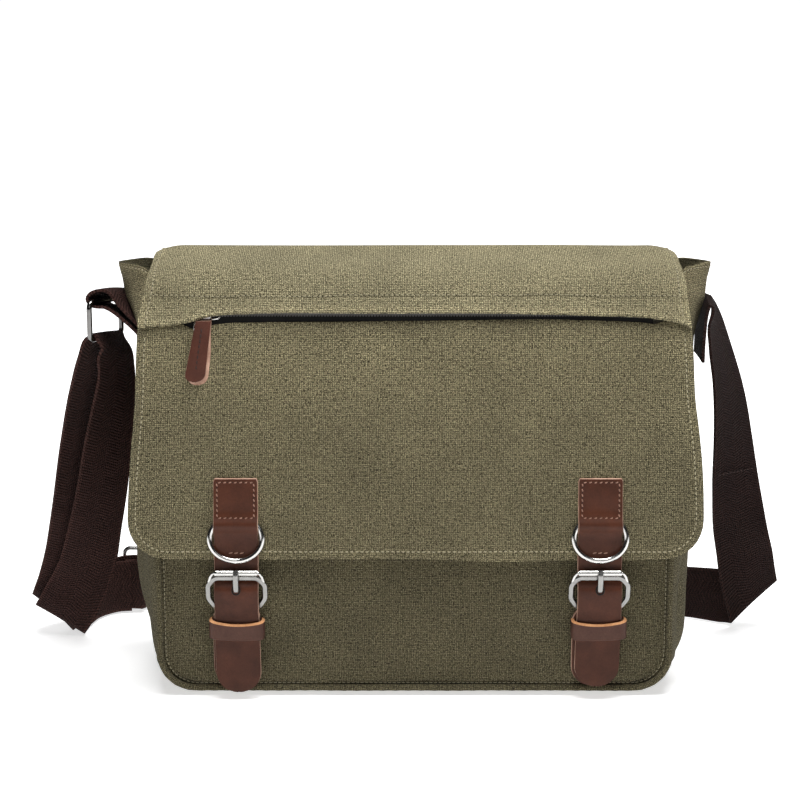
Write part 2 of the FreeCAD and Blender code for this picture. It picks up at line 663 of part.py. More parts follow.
def ring_tab():
    """Webbing tab from the left gusset, round the ring's top bar."""
    top = dim("ring_top_z")
    slope = [("0.4", f"({top} - 3.2)"), ("4.2", f"({top} + 0.2)"), ("34", f"({top} - 36)"),
             ("34", f"({top} - 42.5)")]
    tail = ring_piece("ring_tab", slope)
    loop = ring_rod("tab_loop", 3.6, dim("webbing_width"), top)
    whole = fuse("tab_whole", [tail, loop])
    bored = boolean("Cut", "tab_bored", whole, ring_rod("tab_bore", 2.05, 60, top))
    room = box("bag_side", (60, 120, 80), (-197.4, -60, 215))
    keep("ring_tab", boolean("Cut", "tab_trimmed", bored, room))


def ring_loop():
    """The webbing's turn round the ring's lower bar, with the start of its two strands."""
    foot = dim("ring_foot_z")
    inner, outer = 2.05, number(f"2.05 + {dim('webbing')}")
    legs = ring_piece("loop_legs", [(-outer, f"({foot} - 13)"), (outer, f"({foot} - 13)"),
                                    (outer, foot), (-outer, foot)])
    turn = ring_rod("loop_turn", outer, dim("webbing_width"), foot)
    whole = fuse("loop_whole", [legs, turn])
    gap = ring_piece("loop_gap", [(-inner, f"({foot} - 20)"), (inner, f"({foot} - 20)"),
                                  (inner, foot), (-inner, foot)])
    bore = ring_rod("loop_bore", inner, 60, foot)
    opened = boolean("Cut", "loop_opened", whole, gap)
    keep("strap_ring_loop", boolean("Cut", "loop_bored", opened, bore))


# A ribbon's stations: centre, then its width's yaw from +X towards +Y and its slope upwards.
FRONT_STRAND = [(-212, -1, 228, 70, 0), (-210.5, 8, 216, 56, 0), (-218.5, 18, 167, 42, 2),
                (-227, 30, 121, 27, 6), (-235, 40, 90, 14, 12), (-247, 50, 52, 6, 18),
                (-259, 57, 22, 3, 20)]
BACK_STRAND = [(-219.5, 2, 228, 70, 0), (-227, 10, 209, 56, 0), (-238.5, 24, 165, 42, 2),
               (-248, 40, 104, 27, 6), (-254, 52, 74, 14, 10), (-262, 64, 30, 4, 16)]
MAIN_RUN = [(-270, 72, 21.5, 0, 90), (-252, 80, 21.5, 0, 90), (-244, 97, 22, 0, 90),
            (-240, 112, 23, 0, 90), (-232, 122, 24.2, 0, 90), (-223, 126, 24.2, 0, 90),
            (60, 126, 24.2, 0, 90), (140, 120, 23, 0, 90), (205, 105, 21.5, 0, 90),
            (262, 94, 21.5, 0, 90)]
SECOND_RUN = [(-262, 70, 21.5, 0, 90), (-246, 79, 21.5, 0, 90), (-239.5, 97, 22, 0, 90),
              (-235.5, 109, 23, 0, 90), (-229.5, 117, 24.2, 0, 90), (-221.5, 120, 24.2, 0, 90)]
RIGHT_FALL = [(199.3, 0, 228, 90, 0), (199.8, 0, 256, 90, 0), (202.2, 0, 266, 90, 0),
              (203.4, 0, 268.2, 90, 0), (205.4, 0, 269, 90, 0), (207.4, 0, 268, 90, 0),
              (208.6, 1, 265, 90, 0), (213.5, 8, 237, 66, 0), (222, 18, 208, 54, 0),
              (230.5, 36, 159, 38, 3), (242, 60, 84, 12, 10), (249, 72, 50, 4, 14),
              (257, 82, 24, 2, 18)]


def ribbon(label, stations):
    """Flat webbing through its stations, cut square across its run at each."""
    width, thickness = number(dim("webbing_width")), number(dim("webbing"))
    centres = [Vector(*station[:3]) for station in stations]
    sections = []
    for i, (x, y, z, yaw, slope) in enumerate(stations):
        yaw, slope = math.radians(yaw), math.radians(slope)
        level = math.cos(slope)
        across = Vector(math.cos(yaw) * level, math.sin(yaw) * level, math.sin(slope))
        run = centres[min(i + 1, len(centres) - 1)] - centres[max(i - 1, 0)]
        through = across.cross(run).normalize() * (thickness / 2)
        edge = across * (width / 2)
        centre = centres[i]
        sections.append(closed([centre - edge - through, centre + edge - through,
                                centre + edge + through, centre - edge + through]))
    feature(label, Part.makeLoft(sections, True, True))


def adjuster():
    """Three-bar adjuster standing on edge: its middle bar is set forward of its outer bars."""
    y = f"({dim('slider_y')} + 3)"
    low, high, wire = dim("slider_low_z"), dim("slider_high_z"), dim("slider_wire")
    origin = Vector(number(dim("slider_x")), number(y), 0)
    frame = wire_loop("adjuster", dim("slider_half"), low, high, wire, origin, FRONT_VIEW)
    ahead = f"({dim('slider_y')} - 5)"
    tall = f"({high} - {low})"
    middle = f"({low} + {tall} / 2)"
    bar = rod("middle_bar", wire, tall, (dim("slider_x"), ahead, middle), UPRIGHT)
    pieces = [frame, bar]
    for name, z in (("low", low), ("high", high)):
        reach = rod(f"middle_leg_{name}", wire, f"({y} - {ahead})",
                    (dim("slider_x"), f"({y} + {ahead}) / 2", z), ALONG_Y)
        ball = doc.addObject("Part::Sphere", f"middle_corner_{name}")
        ball.setExpression("Radius", wire)
        place(ball, (dim("slider_x"), ahead, z))
        pieces += [reach, ball]
    keep("strap_adjuster", fuse("adjuster_fused", pieces))


def end_loop():
    """The strap's own end, folded round the adjuster's middle bar and sewn to itself."""
    x, y = dim("slider_x"), f"({dim('slider_y')} - 5)"
    inner = 1.8
    outer = number(f"1.8 + {dim('webbing')} / 2")
    middle = "24.2"
    tall = number(dim("webbing_width"))
    turn = rod("end_turn", outer, tall, (x, y, middle), UPRIGHT)
    reach = box("end_legs", (8, 2 * outer, tall), (f"{x} - 8", f"{y} - {outer}", 4.2))
    gap = box("end_gap", (30, 2 * inner, 60), (f"{x} - 30", f"{y} - {inner}", 0))
    bore = rod("end_bore", inner, 60, (x, y, middle), UPRIGHT)
    opened = boolean("Cut", "end_opened", fuse("end_whole", [turn, reach]), gap)
    keep("strap_end_loop", boolean("Cut", "end_bored", opened, bore))


body_panel("front_panel", FRONT_LINE, front_y)
body_panel("back_panel", BACK_LINE, back_y)
gussets()
base_panel()
piping("front_piping", front_y, number(dim("brow_z")))
piping("back_piping", back_y, number(dim("rear_top_z")))
lining_sack()
inner_fittings()
mouth_binding()
snap_sockets()
flap()
zip_line()
zip_slider()
zip_pull()
closures()
strap_ring()
ring_tab()
ring_loop()
ribbon("strap_front_strand", FRONT_STRAND)
ribbon("strap_back_strand", BACK_STRAND)
ribbon("strap_main_run", MAIN_RUN)
ribbon("strap_second_run", SECOND_RUN)
ribbon("strap_right_fall", RIGHT_FALL)
adjuster()
end_loop()

doc.recompute()
for item in doc.Objects:
    if {"Invalid", "Error"} & set(item.State):
        raise RuntimeError(f"{item.Name} failed: {item.State}")
for item in nodes:
    if item.Shape.isNull() or not item.Shape.isValid():
        raise RuntimeError(f"{item.Label} has no valid shape")
os.makedirs("parts", exist_ok=True)
for item in nodes:
    item.Shape.exportStep(f"parts/{item.Label}.step")
    solids = len(item.Shape.Solids)
    print(f"{item.Label}: {solids} solid(s), {item.Shape.Volume:.0f} mm3")
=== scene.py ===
"""Messenger bag of washed olive canvas: the looks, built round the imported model's frame."""

import json
import math

import bpy
import numpy as np
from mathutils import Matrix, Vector

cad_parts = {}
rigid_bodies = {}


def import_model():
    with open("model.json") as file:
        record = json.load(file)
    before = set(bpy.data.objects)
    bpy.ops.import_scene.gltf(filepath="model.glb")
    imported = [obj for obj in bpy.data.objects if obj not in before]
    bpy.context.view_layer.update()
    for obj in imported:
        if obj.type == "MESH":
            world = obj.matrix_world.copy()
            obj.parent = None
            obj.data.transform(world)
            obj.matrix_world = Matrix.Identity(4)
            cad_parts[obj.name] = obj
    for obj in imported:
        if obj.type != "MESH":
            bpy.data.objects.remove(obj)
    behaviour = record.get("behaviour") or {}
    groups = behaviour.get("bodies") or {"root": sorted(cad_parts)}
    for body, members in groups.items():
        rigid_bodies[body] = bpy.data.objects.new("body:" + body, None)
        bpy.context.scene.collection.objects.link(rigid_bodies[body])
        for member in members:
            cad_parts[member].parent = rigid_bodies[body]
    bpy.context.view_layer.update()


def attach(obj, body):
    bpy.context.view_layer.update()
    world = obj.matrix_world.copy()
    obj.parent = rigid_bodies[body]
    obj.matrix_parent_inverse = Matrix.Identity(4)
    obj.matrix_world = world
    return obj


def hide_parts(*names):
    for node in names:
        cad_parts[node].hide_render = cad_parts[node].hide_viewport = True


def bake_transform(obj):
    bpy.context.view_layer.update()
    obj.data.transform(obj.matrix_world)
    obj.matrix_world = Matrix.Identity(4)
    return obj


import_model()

SIDES = (("left", -1), ("right", 1))


# Shapes of the bag, in millimetres. A line is (height, depth): depth grows to the back.

FRONT_LINE = [(0, -57.6), (8, -59), (30, -59.8), (60, -60), (100, -59), (141, -56.6), (200, -45.6),
              (258, -33.8), (284, -22), (300, -13.5)]
BACK_LINE = [(0, 47.5), (8, 50), (60, 54), (100, 54), (150, 52), (200, 47.2), (258, 40), (296, 33),
             (304, 31)]
# Half-width of the gusset's bulge, by height.
GUSSET_WIDTH = [(0, 171), (30, 187), (50, 190.5), (80, 193.8), (110, 195), (160, 194.5), (220, 193),
                (248, 193.2), (258, 196.5), (264, 199.5), (270, 202.2), (278, 203.4), (287, 204.8),
                (298, 206.5)]
# The flap's outer face over the bag, as (depth, height, left edge, right edge, droop at its sides).
FLAP_PATH = [(37.4, 285.5, 179, 178, 1.5), (36.2, 296.9, 181, 181, 3.5), (31.5, 302, 182, 182.5, 5.0),
             (22, 302.4, 182.5, 183.5, 5.5), (2.5, 298.8, 182.8, 184, 5.5),
             (-11.5, 296.1, 183, 184.2, 5.2), (-21, 292.3, 183.2, 184.3, 4.2),
             (-28, 286.4, 184, 184.6, 2.2), (-32.4, 279.4, 185, 185, 0.6),
             (-36.2, 272, 186.6, 186, 0), (-39.8, 264.3, 188, 187.2, 0),
             (-43, 256.5, 189, 188.2, 0), (-45.6, 249, 189.6, 189, 0)]
# Depth where the flap's crown becomes its band.
SPLIT_DEPTH = 5
# Folded lower edge of the flap's upper band, which covers the zip: position across, height.
WELT = [(-192, 255.6), (-186, 256.6), (-170, 257.8), (-154, 260.4), (-138, 264.8), (-109, 266.3),
        (-40, 266.2), (60, 266.3), (128, 264.8), (162, 263), (178, 260), (186, 257.2), (192, 255.8)]
# Height of the gap that shows the zip.
ZIP_GAP = 5.4
# How far a panel's side runs in under its piping.
SEAM_UNDER_CORD = 1.8
# The flap's side edges below the zip: height, left half-width, right half-width.
FLAP_SIDES = [(95, 197.2, 197.6), (132, 196.8, 197.6), (150, 195.8, 197), (168, 194.6, 195.9),
              (190, 192.6, 193.6), (205, 191.4, 191.6), (243, 190, 189.4), (258, 189, 188.2),
              (270, 187, 186)]
FLAP_FOOT = 99.6
FLAP_CORNER = 27
FLAP_WIDEST = 197
# Distance of the hem's stitches from the flap's edge.
HEM_LINE = 5.6
# Panels, piping and gusset: half-widths, lower edges, tops, and the radius of the lower corners.
PANEL_HALF, PANEL_FOOT, PANEL_TOP, PANEL_CORNER = 174.0, 7.4, 284, 23
PIPING_X, PIPING_FOOT = 176.6, 4.9
EDGE_X, EDGE_FOOT, GUSSET_TOP = 178.4, 2.6, 294.4
CLOSURE_X = 122.5
CLOSURE_MIDDLE = {"left": -122.5, "right": 126.4}
# The zip: middle of its teeth, half-lengths of its tapes and its teeth, and where its slider rests.
ZIP_MIDDLE, TAPE_HALF, TEETH_HALF, SLIDER_PARK = 265.4, 162, 158, -146
ZIP_PITCH = 2.0
WEB_WIDTH = 40
# Stitches: distance from one to the next, length and radius of each.
FLAP_STITCH, BAND_STITCH, LOW_STITCH = (3.5, 2.4, 0.46), (3.5, 2.4, 0.42), (3.5, 2.2, 0.42)
SEAM_STITCH, EAR_STITCH, STRAP_STITCH = (3.2, 2.2, 0.32), (3.2, 2.1, 0.34), (3.2, 2.3, 0.4)


def smooth(stations, at):
    """A smooth curve through stations, each a position and its values."""
    table = np.array(stations, float)
    places, values = table[:, 0], table[:, 1:]
    slopes = np.gradient(values, places, axis=0)
    at = np.clip(np.asarray(at, float), places[0], places[-1])
    i = np.clip(np.searchsorted(places, at) - 1, 0, len(places) - 2)
    span = (places[i + 1] - places[i])[..., None]
    t = (at[..., None] - places[i][..., None]) / span
    out = ((2 * t**3 - 3 * t**2 + 1) * values[i] + (t**3 - 2 * t**2 + t) * span * slopes[i]
           + (3 * t**2 - 2 * t**3) * values[i + 1] + (t**3 - t**2) * span * slopes[i + 1])
    return out[..., 0] if values.shape[1] == 1 else out


def front_y(z):
    """Depth of the bag's front at a height."""
    return smooth(FRONT_LINE, z)


def back_y(z):
    """Depth of the bag's back at a height."""
    return smooth(BACK_LINE, z)


def step(low, high, value):
    """0 below low, 1 above high, smooth between."""
    t = np.clip((np.asarray(value, float) - low) / (high - low), 0, 1)
    return t * t * (3 - 2 * t)


def hump(centre, width, value):
    """1 at centre, falling to 0 about two widths away."""
    return np.exp(-((np.asarray(value, float) - centre) / width) ** 2)


WAVES = 16


def ripple(a, b, seed, size, lean=0.0, spread=1.0):
    """Slow uneven waves of about one unit. lean and spread set which way they run, in radians."""
    rng = np.random.default_rng(seed)
    total = 0
    for _ in range(WAVES):
        angle = lean + spread * rng.uniform(-1, 1) * math.pi / 2
        wave = size * rng.uniform(0.6, 1.8)
        total = total + np.sin((a * math.cos(angle) + b * math.sin(angle)) * 2 * math.pi / wave
                               + rng.uniform(0, 2 * math.pi))
    return total / math.sqrt(WAVES)


def lengths(path):
    """Distance along a line of points, from its start."""
    path = np.asarray(path, float)
    return np.concatenate([[0], np.cumsum(np.linalg.norm(np.diff(path, axis=0), axis=1))])


def unit(vectors):
    """The same directions, one long."""
    vectors = np.asarray(vectors, float)
    size = np.linalg.norm(vectors, axis=-1, keepdims=True)
    return vectors / np.maximum(size, 1e-9)


def join(*parts):
    """Coordinates joined into points, or into UVs."""
    return np.stack(np.broadcast_arrays(*parts), -1)


# Meshes. Points are in millimetres, and so are their UVs, which the weaves follow.

def mesh_object(name, points, faces, materials, uv=None, places=None, wear=None, sharp=35):
    """A mesh of points and faces. places gives each face its material, wear each point its fading and
    its painted light and shade.
    """
    mesh = bpy.data.meshes.new(name)
    points = np.asarray(points, float) / 1000
    mesh.from_pydata(points.tolist(), [], [list(map(int, f)) for f in faces])
    obj = bpy.data.objects.new(name, mesh)
    bpy.context.collection.objects.link(obj)
    for material in materials:
        mesh.materials.append(material)
    if uv is not None:
        layer = mesh.uv_layers.new(name="UVMap")
        corners = np.zeros(len(mesh.loops), np.int32)
        mesh.loops.foreach_get("vertex_index", corners)
        layer.data.foreach_set("uv", (np.asarray(uv, float) / 1000)[corners].astype(np.float32).ravel())
    if places is not None:
        mesh.polygons.foreach_set("material_index", np.asarray(places, np.int32))
    attribute = mesh.attributes.new("wear", "FLOAT", "POINT")
    if wear is not None:
        attribute.data.foreach_set("value", np.asarray(wear, np.float32).ravel())
    mesh.polygons.foreach_set("use_smooth", np.ones(len(mesh.polygons), bool))
    mesh.set_sharp_from_angle(angle=math.radians(sharp))
    mesh.validate()
    return obj


def normals_of(grid, ring=False):
    """Which way the sheet faces at each of its points."""
    if ring:
        padded = np.concatenate([grid[-1:], grid, grid[:1]])
        across = np.gradient(padded, axis=0)[1:-1]
    else:
        across = np.gradient(grid, axis=0)
    return unit(np.cross(across, np.gradient(grid, axis=1)))


def sheet_mesh(name, grid, uv, depth, materials, inset=0.0, flip=False, ring=False, wear=None,
               hem=None):
    """Cloth or leather with its outer face on grid and a back depth behind it, closed by an edge.

    materials are for the face, the back and the edge. inset bevels the edge, so that it shows.
    ring joins the first row to the last. hem is extra thickness, point by point.
    """
    rows, cols = grid.shape[:2]
    normal = normals_of(grid, ring)
    if flip:
        normal = -normal
    back = grid - normal * depth
    face = grid.copy()
    if hem is not None:
        face += normal * hem[..., None]
    if inset:
        inner = face.copy()
        if not ring:
            inner[0] += unit(face[1] - face[0]) * inset
            inner[-1] += unit(face[-2] - face[-1]) * inset
        inner[:, 0] += unit(face[:, 1] - face[:, 0]) * inset
        inner[:, -1] += unit(face[:, -2] - face[:, -1]) * inset
        face = inner
    points = np.concatenate([face.reshape(-1, 3), back.reshape(-1, 3)])
    index = np.arange(rows * cols).reshape(rows, cols)
    if ring:
        index = np.concatenate([index, index[:1]])
    a, b, c, d = index[:-1, :-1], index[1:, :-1], index[1:, 1:], index[:-1, 1:]
    quads = np.stack([a, b, c, d], -1).reshape(-1, 4)
    if flip:
        quads = quads[:, ::-1]
    count = rows * cols
    faces = [quads, quads[:, ::-1] + count]
    places = [np.zeros(len(quads)), np.ones(len(quads))]
    borders = [index[:, 0][::-1], index[:, -1]]
    if not ring:
        borders += [index[0], index[-1][::-1]]
    for border in borders:
        low, high = border[:-1], border[1:]
        rim = np.stack([low, high, high + count, low + count], -1)
        faces.append(rim if flip else rim[:, ::-1])
        places.append(np.full(len(rim), 2))
    places = np.concatenate(places)
    places = np.minimum(places, len(materials) - 1)
    uv = uv.reshape(-1, 2)
    if wear is not None:
        wear = np.broadcast_to(wear, (rows, cols))
        wear = np.concatenate([wear.ravel(), wear.ravel()])
    return mesh_object(name, points, np.concatenate(faces), materials, np.concatenate([uv, uv]),
                       places, wear)


def tube(name, path, radius, materials, sides=14, closed=False, section=None, up=None):
    """A round wire along path, or a bar of that section whose first side faces up."""
    path = np.asarray(path, float)
    ahead = np.roll(path, -1, 0) - np.roll(path, 1, 0) if closed else np.gradient(path, axis=0)
    ahead = unit(ahead)
    if up is None:
        guide = np.array([0.0, 0, 1]) if abs(ahead[0][2]) < 0.9 else np.array([1.0, 0, 0])
        side = unit(np.cross(ahead[0], guide))
        turns = []
        for direction in ahead:
            side = unit(side - direction * np.dot(side, direction))
            turns.append(side)
        side = np.array(turns)
        if closed:
            start = side[0]
            end = unit(side[-1] - ahead[0] * np.dot(side[-1], ahead[0]))
            twist = math.atan2(np.dot(np.cross(end, start), ahead[0]), np.dot(end, start))
            over = np.cross(ahead, side)
            share = np.linspace(0, twist, len(path))[:, None]
            side = side * np.cos(share) + over * np.sin(share)
        lift = np.cross(ahead, side)
    else:
        up = np.broadcast_to(np.asarray(up, float), path.shape)
        side = unit(np.cross(ahead, up))
        lift = unit(np.cross(side, ahead))
    if section is None:
        turn = np.linspace(0, 2 * math.pi, sides, endpoint=False)
        section = np.stack([np.cos(turn), np.sin(turn)], -1)
        radius = np.broadcast_to(np.asarray(radius, float), len(path))
    else:
        section = np.asarray(section, float)
        radius = np.ones(len(path))
    count = len(section)
    rings = (path[:, None] + side[:, None] * section[None, :, :1] * radius[:, None, None]
             + lift[:, None] * section[None, :, 1:] * radius[:, None, None])
    points = rings.reshape(-1, 3)
    index = np.arange(len(points)).reshape(len(path), count)
    index = np.concatenate([index, index[:, :1]], 1)
    if closed:
        index = np.concatenate([index, index[:1]])
    quads = np.stack([index[:-1, :-1], index[:-1, 1:], index[1:, 1:], index[1:, :-1]], -1)
    faces = quads.reshape(-1, 4).tolist()
    if not closed:
        faces += [index[0, :-1][::-1].tolist(), index[-1, :-1].tolist()]
    run = lengths(path)
    around = np.linspace(0, 2 * math.pi, count, endpoint=False)
    uv = join(around * radius[:, None], run[:, None])
    return mesh_object(name, points, faces, materials, uv.reshape(-1, 2), sharp=50)


def rounded(corners, radius, steps=8, closed=True):
    """A line through corners, with each corner rounded."""
    corners = [np.array(c, float) for c in corners]
    radius = np.broadcast_to(np.asarray(radius, float), len(corners))
    points = []
    for i, corner in enumerate(corners):
        if not closed and i in (0, len(corners) - 1):
            points.append(corner)
            continue
        before = unit(corners[i - 1] - corner)
        after = unit(corners[(i + 1) % len(corners)] - corner)
        half = math.acos(float(np.clip(np.dot(before, after), -1, 1))) / 2
        reach = radius[i] / math.tan(half)
        start, end = corner + before * reach, corner + after * reach
        centre = corner + unit(before + after) * radius[i] / math.sin(half)
        for t in np.linspace(0, 1, steps):
            spoke = unit((start - centre) * (1 - t) + (end - centre) * t)
            points.append(centre + spoke * radius[i])
    return np.array(points)


def dense(path, gap, closed=False):
    """The same line with a point every gap."""
    path = np.asarray(path, float)
    if closed:
        path = np.concatenate([path, path[:1]])
    run = lengths(path)
    places = np.linspace(0, run[-1], max(2, int(round(run[-1] / gap)) + 1))
    if closed:
        places = places[:-1]
    return np.stack([np.interp(places, run, path[:, k]) for k in range(3)], -1)


def bar_section(wide, thick, corner):
    """A flat bar's section: wide across, thick through, with rounded corners."""
    points = []
    for cx, cy, start in ((1, 1, 0), (-1, 1, 90), (-1, -1, 180), (1, -1, 270)):
        for turn in np.radians(np.linspace(start, start + 90, 5)):
            points.append((cx * (wide / 2 - corner) + corner * math.cos(turn),
                           cy * (thick / 2 - corner) + corner * math.sin(turn)))
    return points


class Thread:
    """Stitches that share a mesh."""

    def __init__(self):
        self.points = []
        self.faces = []
        self.places = []

    def add(self, centre, along, out, long, radius, place=0, squash=0.75):
        """One stitch: a short thread, low at its ends, where it goes into the cloth."""
        across = unit(np.cross(out, along))
        turns = np.linspace(0, 2 * math.pi, 6, endpoint=False)
        base = len(self.points)
        for share, fat in ((-1, 0.35), (-0.65, 0.85), (0, 1), (0.65, 0.85), (1, 0.35)):
            middle = centre + along * share * long / 2 - out * share * share * radius * 0.9
            for turn in turns:
                self.points.append(middle + across * math.cos(turn) * radius * fat
                                   + out * math.sin(turn) * radius * fat * squash)
        for ring in range(4):
            for k in range(6):
                low, high = base + ring * 6 + k, base + ring * 6 + (k + 1) % 6
                self.faces.append((low, high, high + 6, low + 6))
                self.places.append(place)
        self.faces.append(tuple(base + k for k in range(5, -1, -1)))
        self.faces.append(tuple(base + 24 + k for k in range(6)))
        self.places += [place, place]

    def line(self, path, out, pitch=3.3, long=2.3, radius=0.38, slant=0.0, holes=True):
        """Stitches along path. out is the way that the cloth faces, once or point by point."""
        path = np.asarray(path, float)
        out = np.broadcast_to(np.asarray(out, float), path.shape)
        run = lengths(path)
        count = max(1, int(round(run[-1] / pitch)))
        for i in range(count):
            at = (i + 0.5) * run[-1] / count
            before, after = np.maximum(at - 0.5, 0), np.minimum(at + 0.5, run[-1])
            centre, low, high, facing = (
                np.array([np.interp(p, run, values[:, k]) for k in range(3)])
                for p, values in ((at, path), (before, path), (after, path), (at, out)))
            facing = unit(facing)
            along = unit(high - low)
            across = np.cross(facing, along)
            thread = unit(along * math.cos(slant) + across * math.sin(slant))
            self.add(centre + facing * radius * 0.35, thread, facing, long, radius)
            if holes:
                hole = centre + along * pitch / 2 - facing * 0.05
                self.add(hole, along, facing, radius * 2.0, radius * 0.85, 1, 0.35)

    def build(self, name, materials):
        return mesh_object(name, self.points, self.faces, materials,
                           np.zeros((len(self.points), 2)), self.places)


# Materials, all from nodes.

class Graph:
    """A node material around one Principled shader."""

    def __init__(self, name):
        self.material = bpy.data.materials.new(name)
        self.material.use_nodes = True
        self.nodes = self.material.node_tree.nodes
        self.links = self.material.node_tree.links
        self.shader = self.nodes["Principled BSDF"]

    def feed(self, socket, value):
        if hasattr(value, "links"):
            self.links.new(value, socket)
        elif hasattr(value, "__len__") and len(value) == 3 and len(socket.default_value) == 4:
            socket.default_value = (*value, 1)
        else:
            socket.default_value = value

    def math(self, kind, a, b=0.0, c=0.0):
        node = self.nodes.new("ShaderNodeMath")
        node.operation = kind
        for socket, value in zip(node.inputs, (a, b, c)):
            self.feed(socket, value)
        return node.outputs[0]

    def mul(self, a, b):
        return self.math("MULTIPLY", a, b)

    def add(self, a, b):
        return self.math("ADD", a, b)

    def mix(self, share, a, b):
        node = self.nodes.new("ShaderNodeMix")
        node.data_type = "RGBA"
        self.feed(node.inputs["Factor"], share)
        self.feed(node.inputs["A"], a)
        self.feed(node.inputs["B"], b)
        return node.outputs["Result"]

    def scaled(self, colour, value):
        """colour, made lighter or darker by value."""
        node = self.nodes.new("ShaderNodeVectorMath")
        node.operation = "SCALE"
        self.feed(node.inputs[0], colour)
        self.feed(node.inputs["Scale"], value)
        return node.outputs[0]

    def ramp(self, value, low, high, start=0.0, end=1.0):
        node = self.nodes.new("ShaderNodeMapRange")
        for socket, number in zip(node.inputs, (value, low, high, start, end)):
            self.feed(socket, number)
        return node.outputs[0]

    def cloth_place(self):
        """Where a point is on the flat cloth, in millimetres."""
        uv = self.nodes.new("ShaderNodeUVMap")
        uv.uv_map = "UVMap"
        split = self.nodes.new("ShaderNodeSeparateXYZ")
        self.links.new(uv.outputs[0], split.inputs[0])
        return self.mul(split.outputs[0], 1000), self.mul(split.outputs[1], 1000)

    def place(self):
        return self.nodes.new("ShaderNodeTexCoord").outputs["Object"]

    def joined(self, x, y, z=0.0):
        node = self.nodes.new("ShaderNodeCombineXYZ")
        for socket, value in zip(node.inputs, (x, y, z)):
            self.feed(socket, value)
        return node.outputs[0]

    def noise(self, vector, scale, detail=2.0, rough=0.5):
        node = self.nodes.new("ShaderNodeTexNoise")
        self.feed(node.inputs["Vector"], vector)
        node.inputs["Scale"].default_value = scale
        node.inputs["Detail"].default_value = detail
        node.inputs["Roughness"].default_value = rough
        return node.outputs["Fac"]

    def bump(self, height, distance, strength=1.0):
        node = self.nodes.new("ShaderNodeBump")
        node.inputs["Distance"].default_value = distance
        node.inputs["Strength"].default_value = strength
        self.feed(node.inputs["Height"], height)
        self.links.new(node.outputs[0], self.shader.inputs["Normal"])

    # Reads the point attribute wear, which carries real wear, painted light and painted shade.
    def wear_light_and_shade(self):
        node = self.nodes.new("ShaderNodeAttribute")
        node.attribute_name = "wear"
        return node.outputs["Fac"]

    def finish(self, colour, rough, metallic=0.0, specular=0.5, sheen=0.0, coat=0.0):
        for name, value in (("Base Color", colour), ("Roughness", rough), ("Metallic", metallic),
                            ("Specular IOR Level", specular), ("Sheen Weight", sheen),
                            ("Coat Weight", coat)):
            self.feed(self.shader.inputs[name], value)
        self.shader.inputs["Sheen Roughness"].default_value = 0.6
        return self.material


def canvas(name, light, dark, pitch=1.25, wear_and_light_gain=1.3, sheen=0.04):
    """Washed canvas in plain weave: thick uneven threads, pale and dark by turns, dark between."""
    g = Graph(name)
    x, y = g.cloth_place()
    warp = g.math("SINE", g.mul(x, math.pi / pitch))
    weft = g.math("SINE", g.mul(y, math.pi / pitch))
    cross = g.mul(warp, weft)
    raised = g.math("POWER", g.math("ABSOLUTE", cross), 0.5)
    on_top = g.ramp(cross, -0.2, 0.2)
    warp_thread = g.noise(g.joined(g.mul(x, 1 / pitch), g.mul(y, 0.4)), 1.0)
    weft_thread = g.noise(g.joined(g.mul(x, 0.3), g.mul(y, 1 / pitch), 7.0), 1.0)
    warp_tone = g.ramp(warp_thread, 0.35, 0.65)
    weft_tone = g.ramp(weft_thread, 0.35, 0.65)
    thread = g.add(g.mul(warp_tone, on_top),
                    g.mul(weft_tone, g.math("SUBTRACT", 1.0, on_top)))
    speck = g.ramp(g.noise(g.joined(x, y, 3.0), 1.3, 0.0), 0.38, 0.62)
    fleck = g.ramp(g.noise(g.joined(x, y, 21.0), 1.2, 0.0), 0.64, 0.78)
    blotch = g.noise(g.joined(x, y, 11.0), 0.028, 3.0, 0.55)
    tone = g.add(g.mul(thread, 0.45), g.mul(speck, 0.55))
    tone = g.add(tone, g.mul(fleck, 0.5))
    colour = g.mix(tone, dark, light)
    # Where wear is set the canvas lightens: real wear at edges, and painted light where a piece sets
    # wear for light.
    worn_and_lit = g.mul(g.wear_light_and_shade(), g.ramp(speck, 0.1, 0.9, 0.35, 1.0))
    bright = g.add(g.mul(raised, 1.1), 0.16)
    bright = g.mul(bright, g.ramp(blotch, 0.3, 0.7, 0.88, 1.12))
    bright = g.mul(bright, g.add(g.mul(worn_and_lit, wear_and_light_gain - 1), 1.0))
    g.bump(g.add(raised, g.mul(speck, 0.7)), 0.0004, 1.0)
    return g.finish(g.scaled(colour, bright), 0.95, specular=0.1, sheen=sheen)


def webbing(name, light, dark):
    """Strap webbing: zigzag twill ribs across its width, with heavier edges."""
    g = Graph(name)
    x, y = g.cloth_place()
    leg = g.math("ABSOLUTE", g.math("SUBTRACT", g.math("FRACT", g.mul(x, 1 / 20)), 0.5))
    rib = g.math("SINE", g.mul(g.add(y, g.mul(leg, 9.0)), 2 * math.pi / 2.3))
    cord = g.math("SINE", g.mul(x, 2 * math.pi / 1.6))
    raised = g.add(g.mul(rib, 0.7), g.mul(cord, 0.4))
    speck = g.ramp(g.noise(g.joined(x, g.mul(y, 0.6)), 0.9, 1.0, 0.5), 0.38, 0.62)
    tone = g.add(g.mul(g.ramp(raised, -0.9, 0.9), 0.6),
                  g.mul(speck, 0.4))
    edge = g.ramp(g.math("ABSOLUTE", g.math("SUBTRACT", x, 20.0)), 17.6, 18.8, 1.0, 1.5)
    slow = g.ramp(g.noise(g.joined(x, y, 5.0), 0.03), 0.3, 0.7, 0.85, 1.15)
    g.bump(raised, 0.0004, 1.0)
    # Where wear is set the webbing darkens: painted shade.
    painted_strap_shade = g.ramp(g.wear_light_and_shade(), 0, 1, 1.0, 0.5)
    bright = g.mul(painted_strap_shade, g.mul(slow, edge))
    return g.finish(g.scaled(g.mix(tone, dark, light), bright), 0.85, specular=0.12)


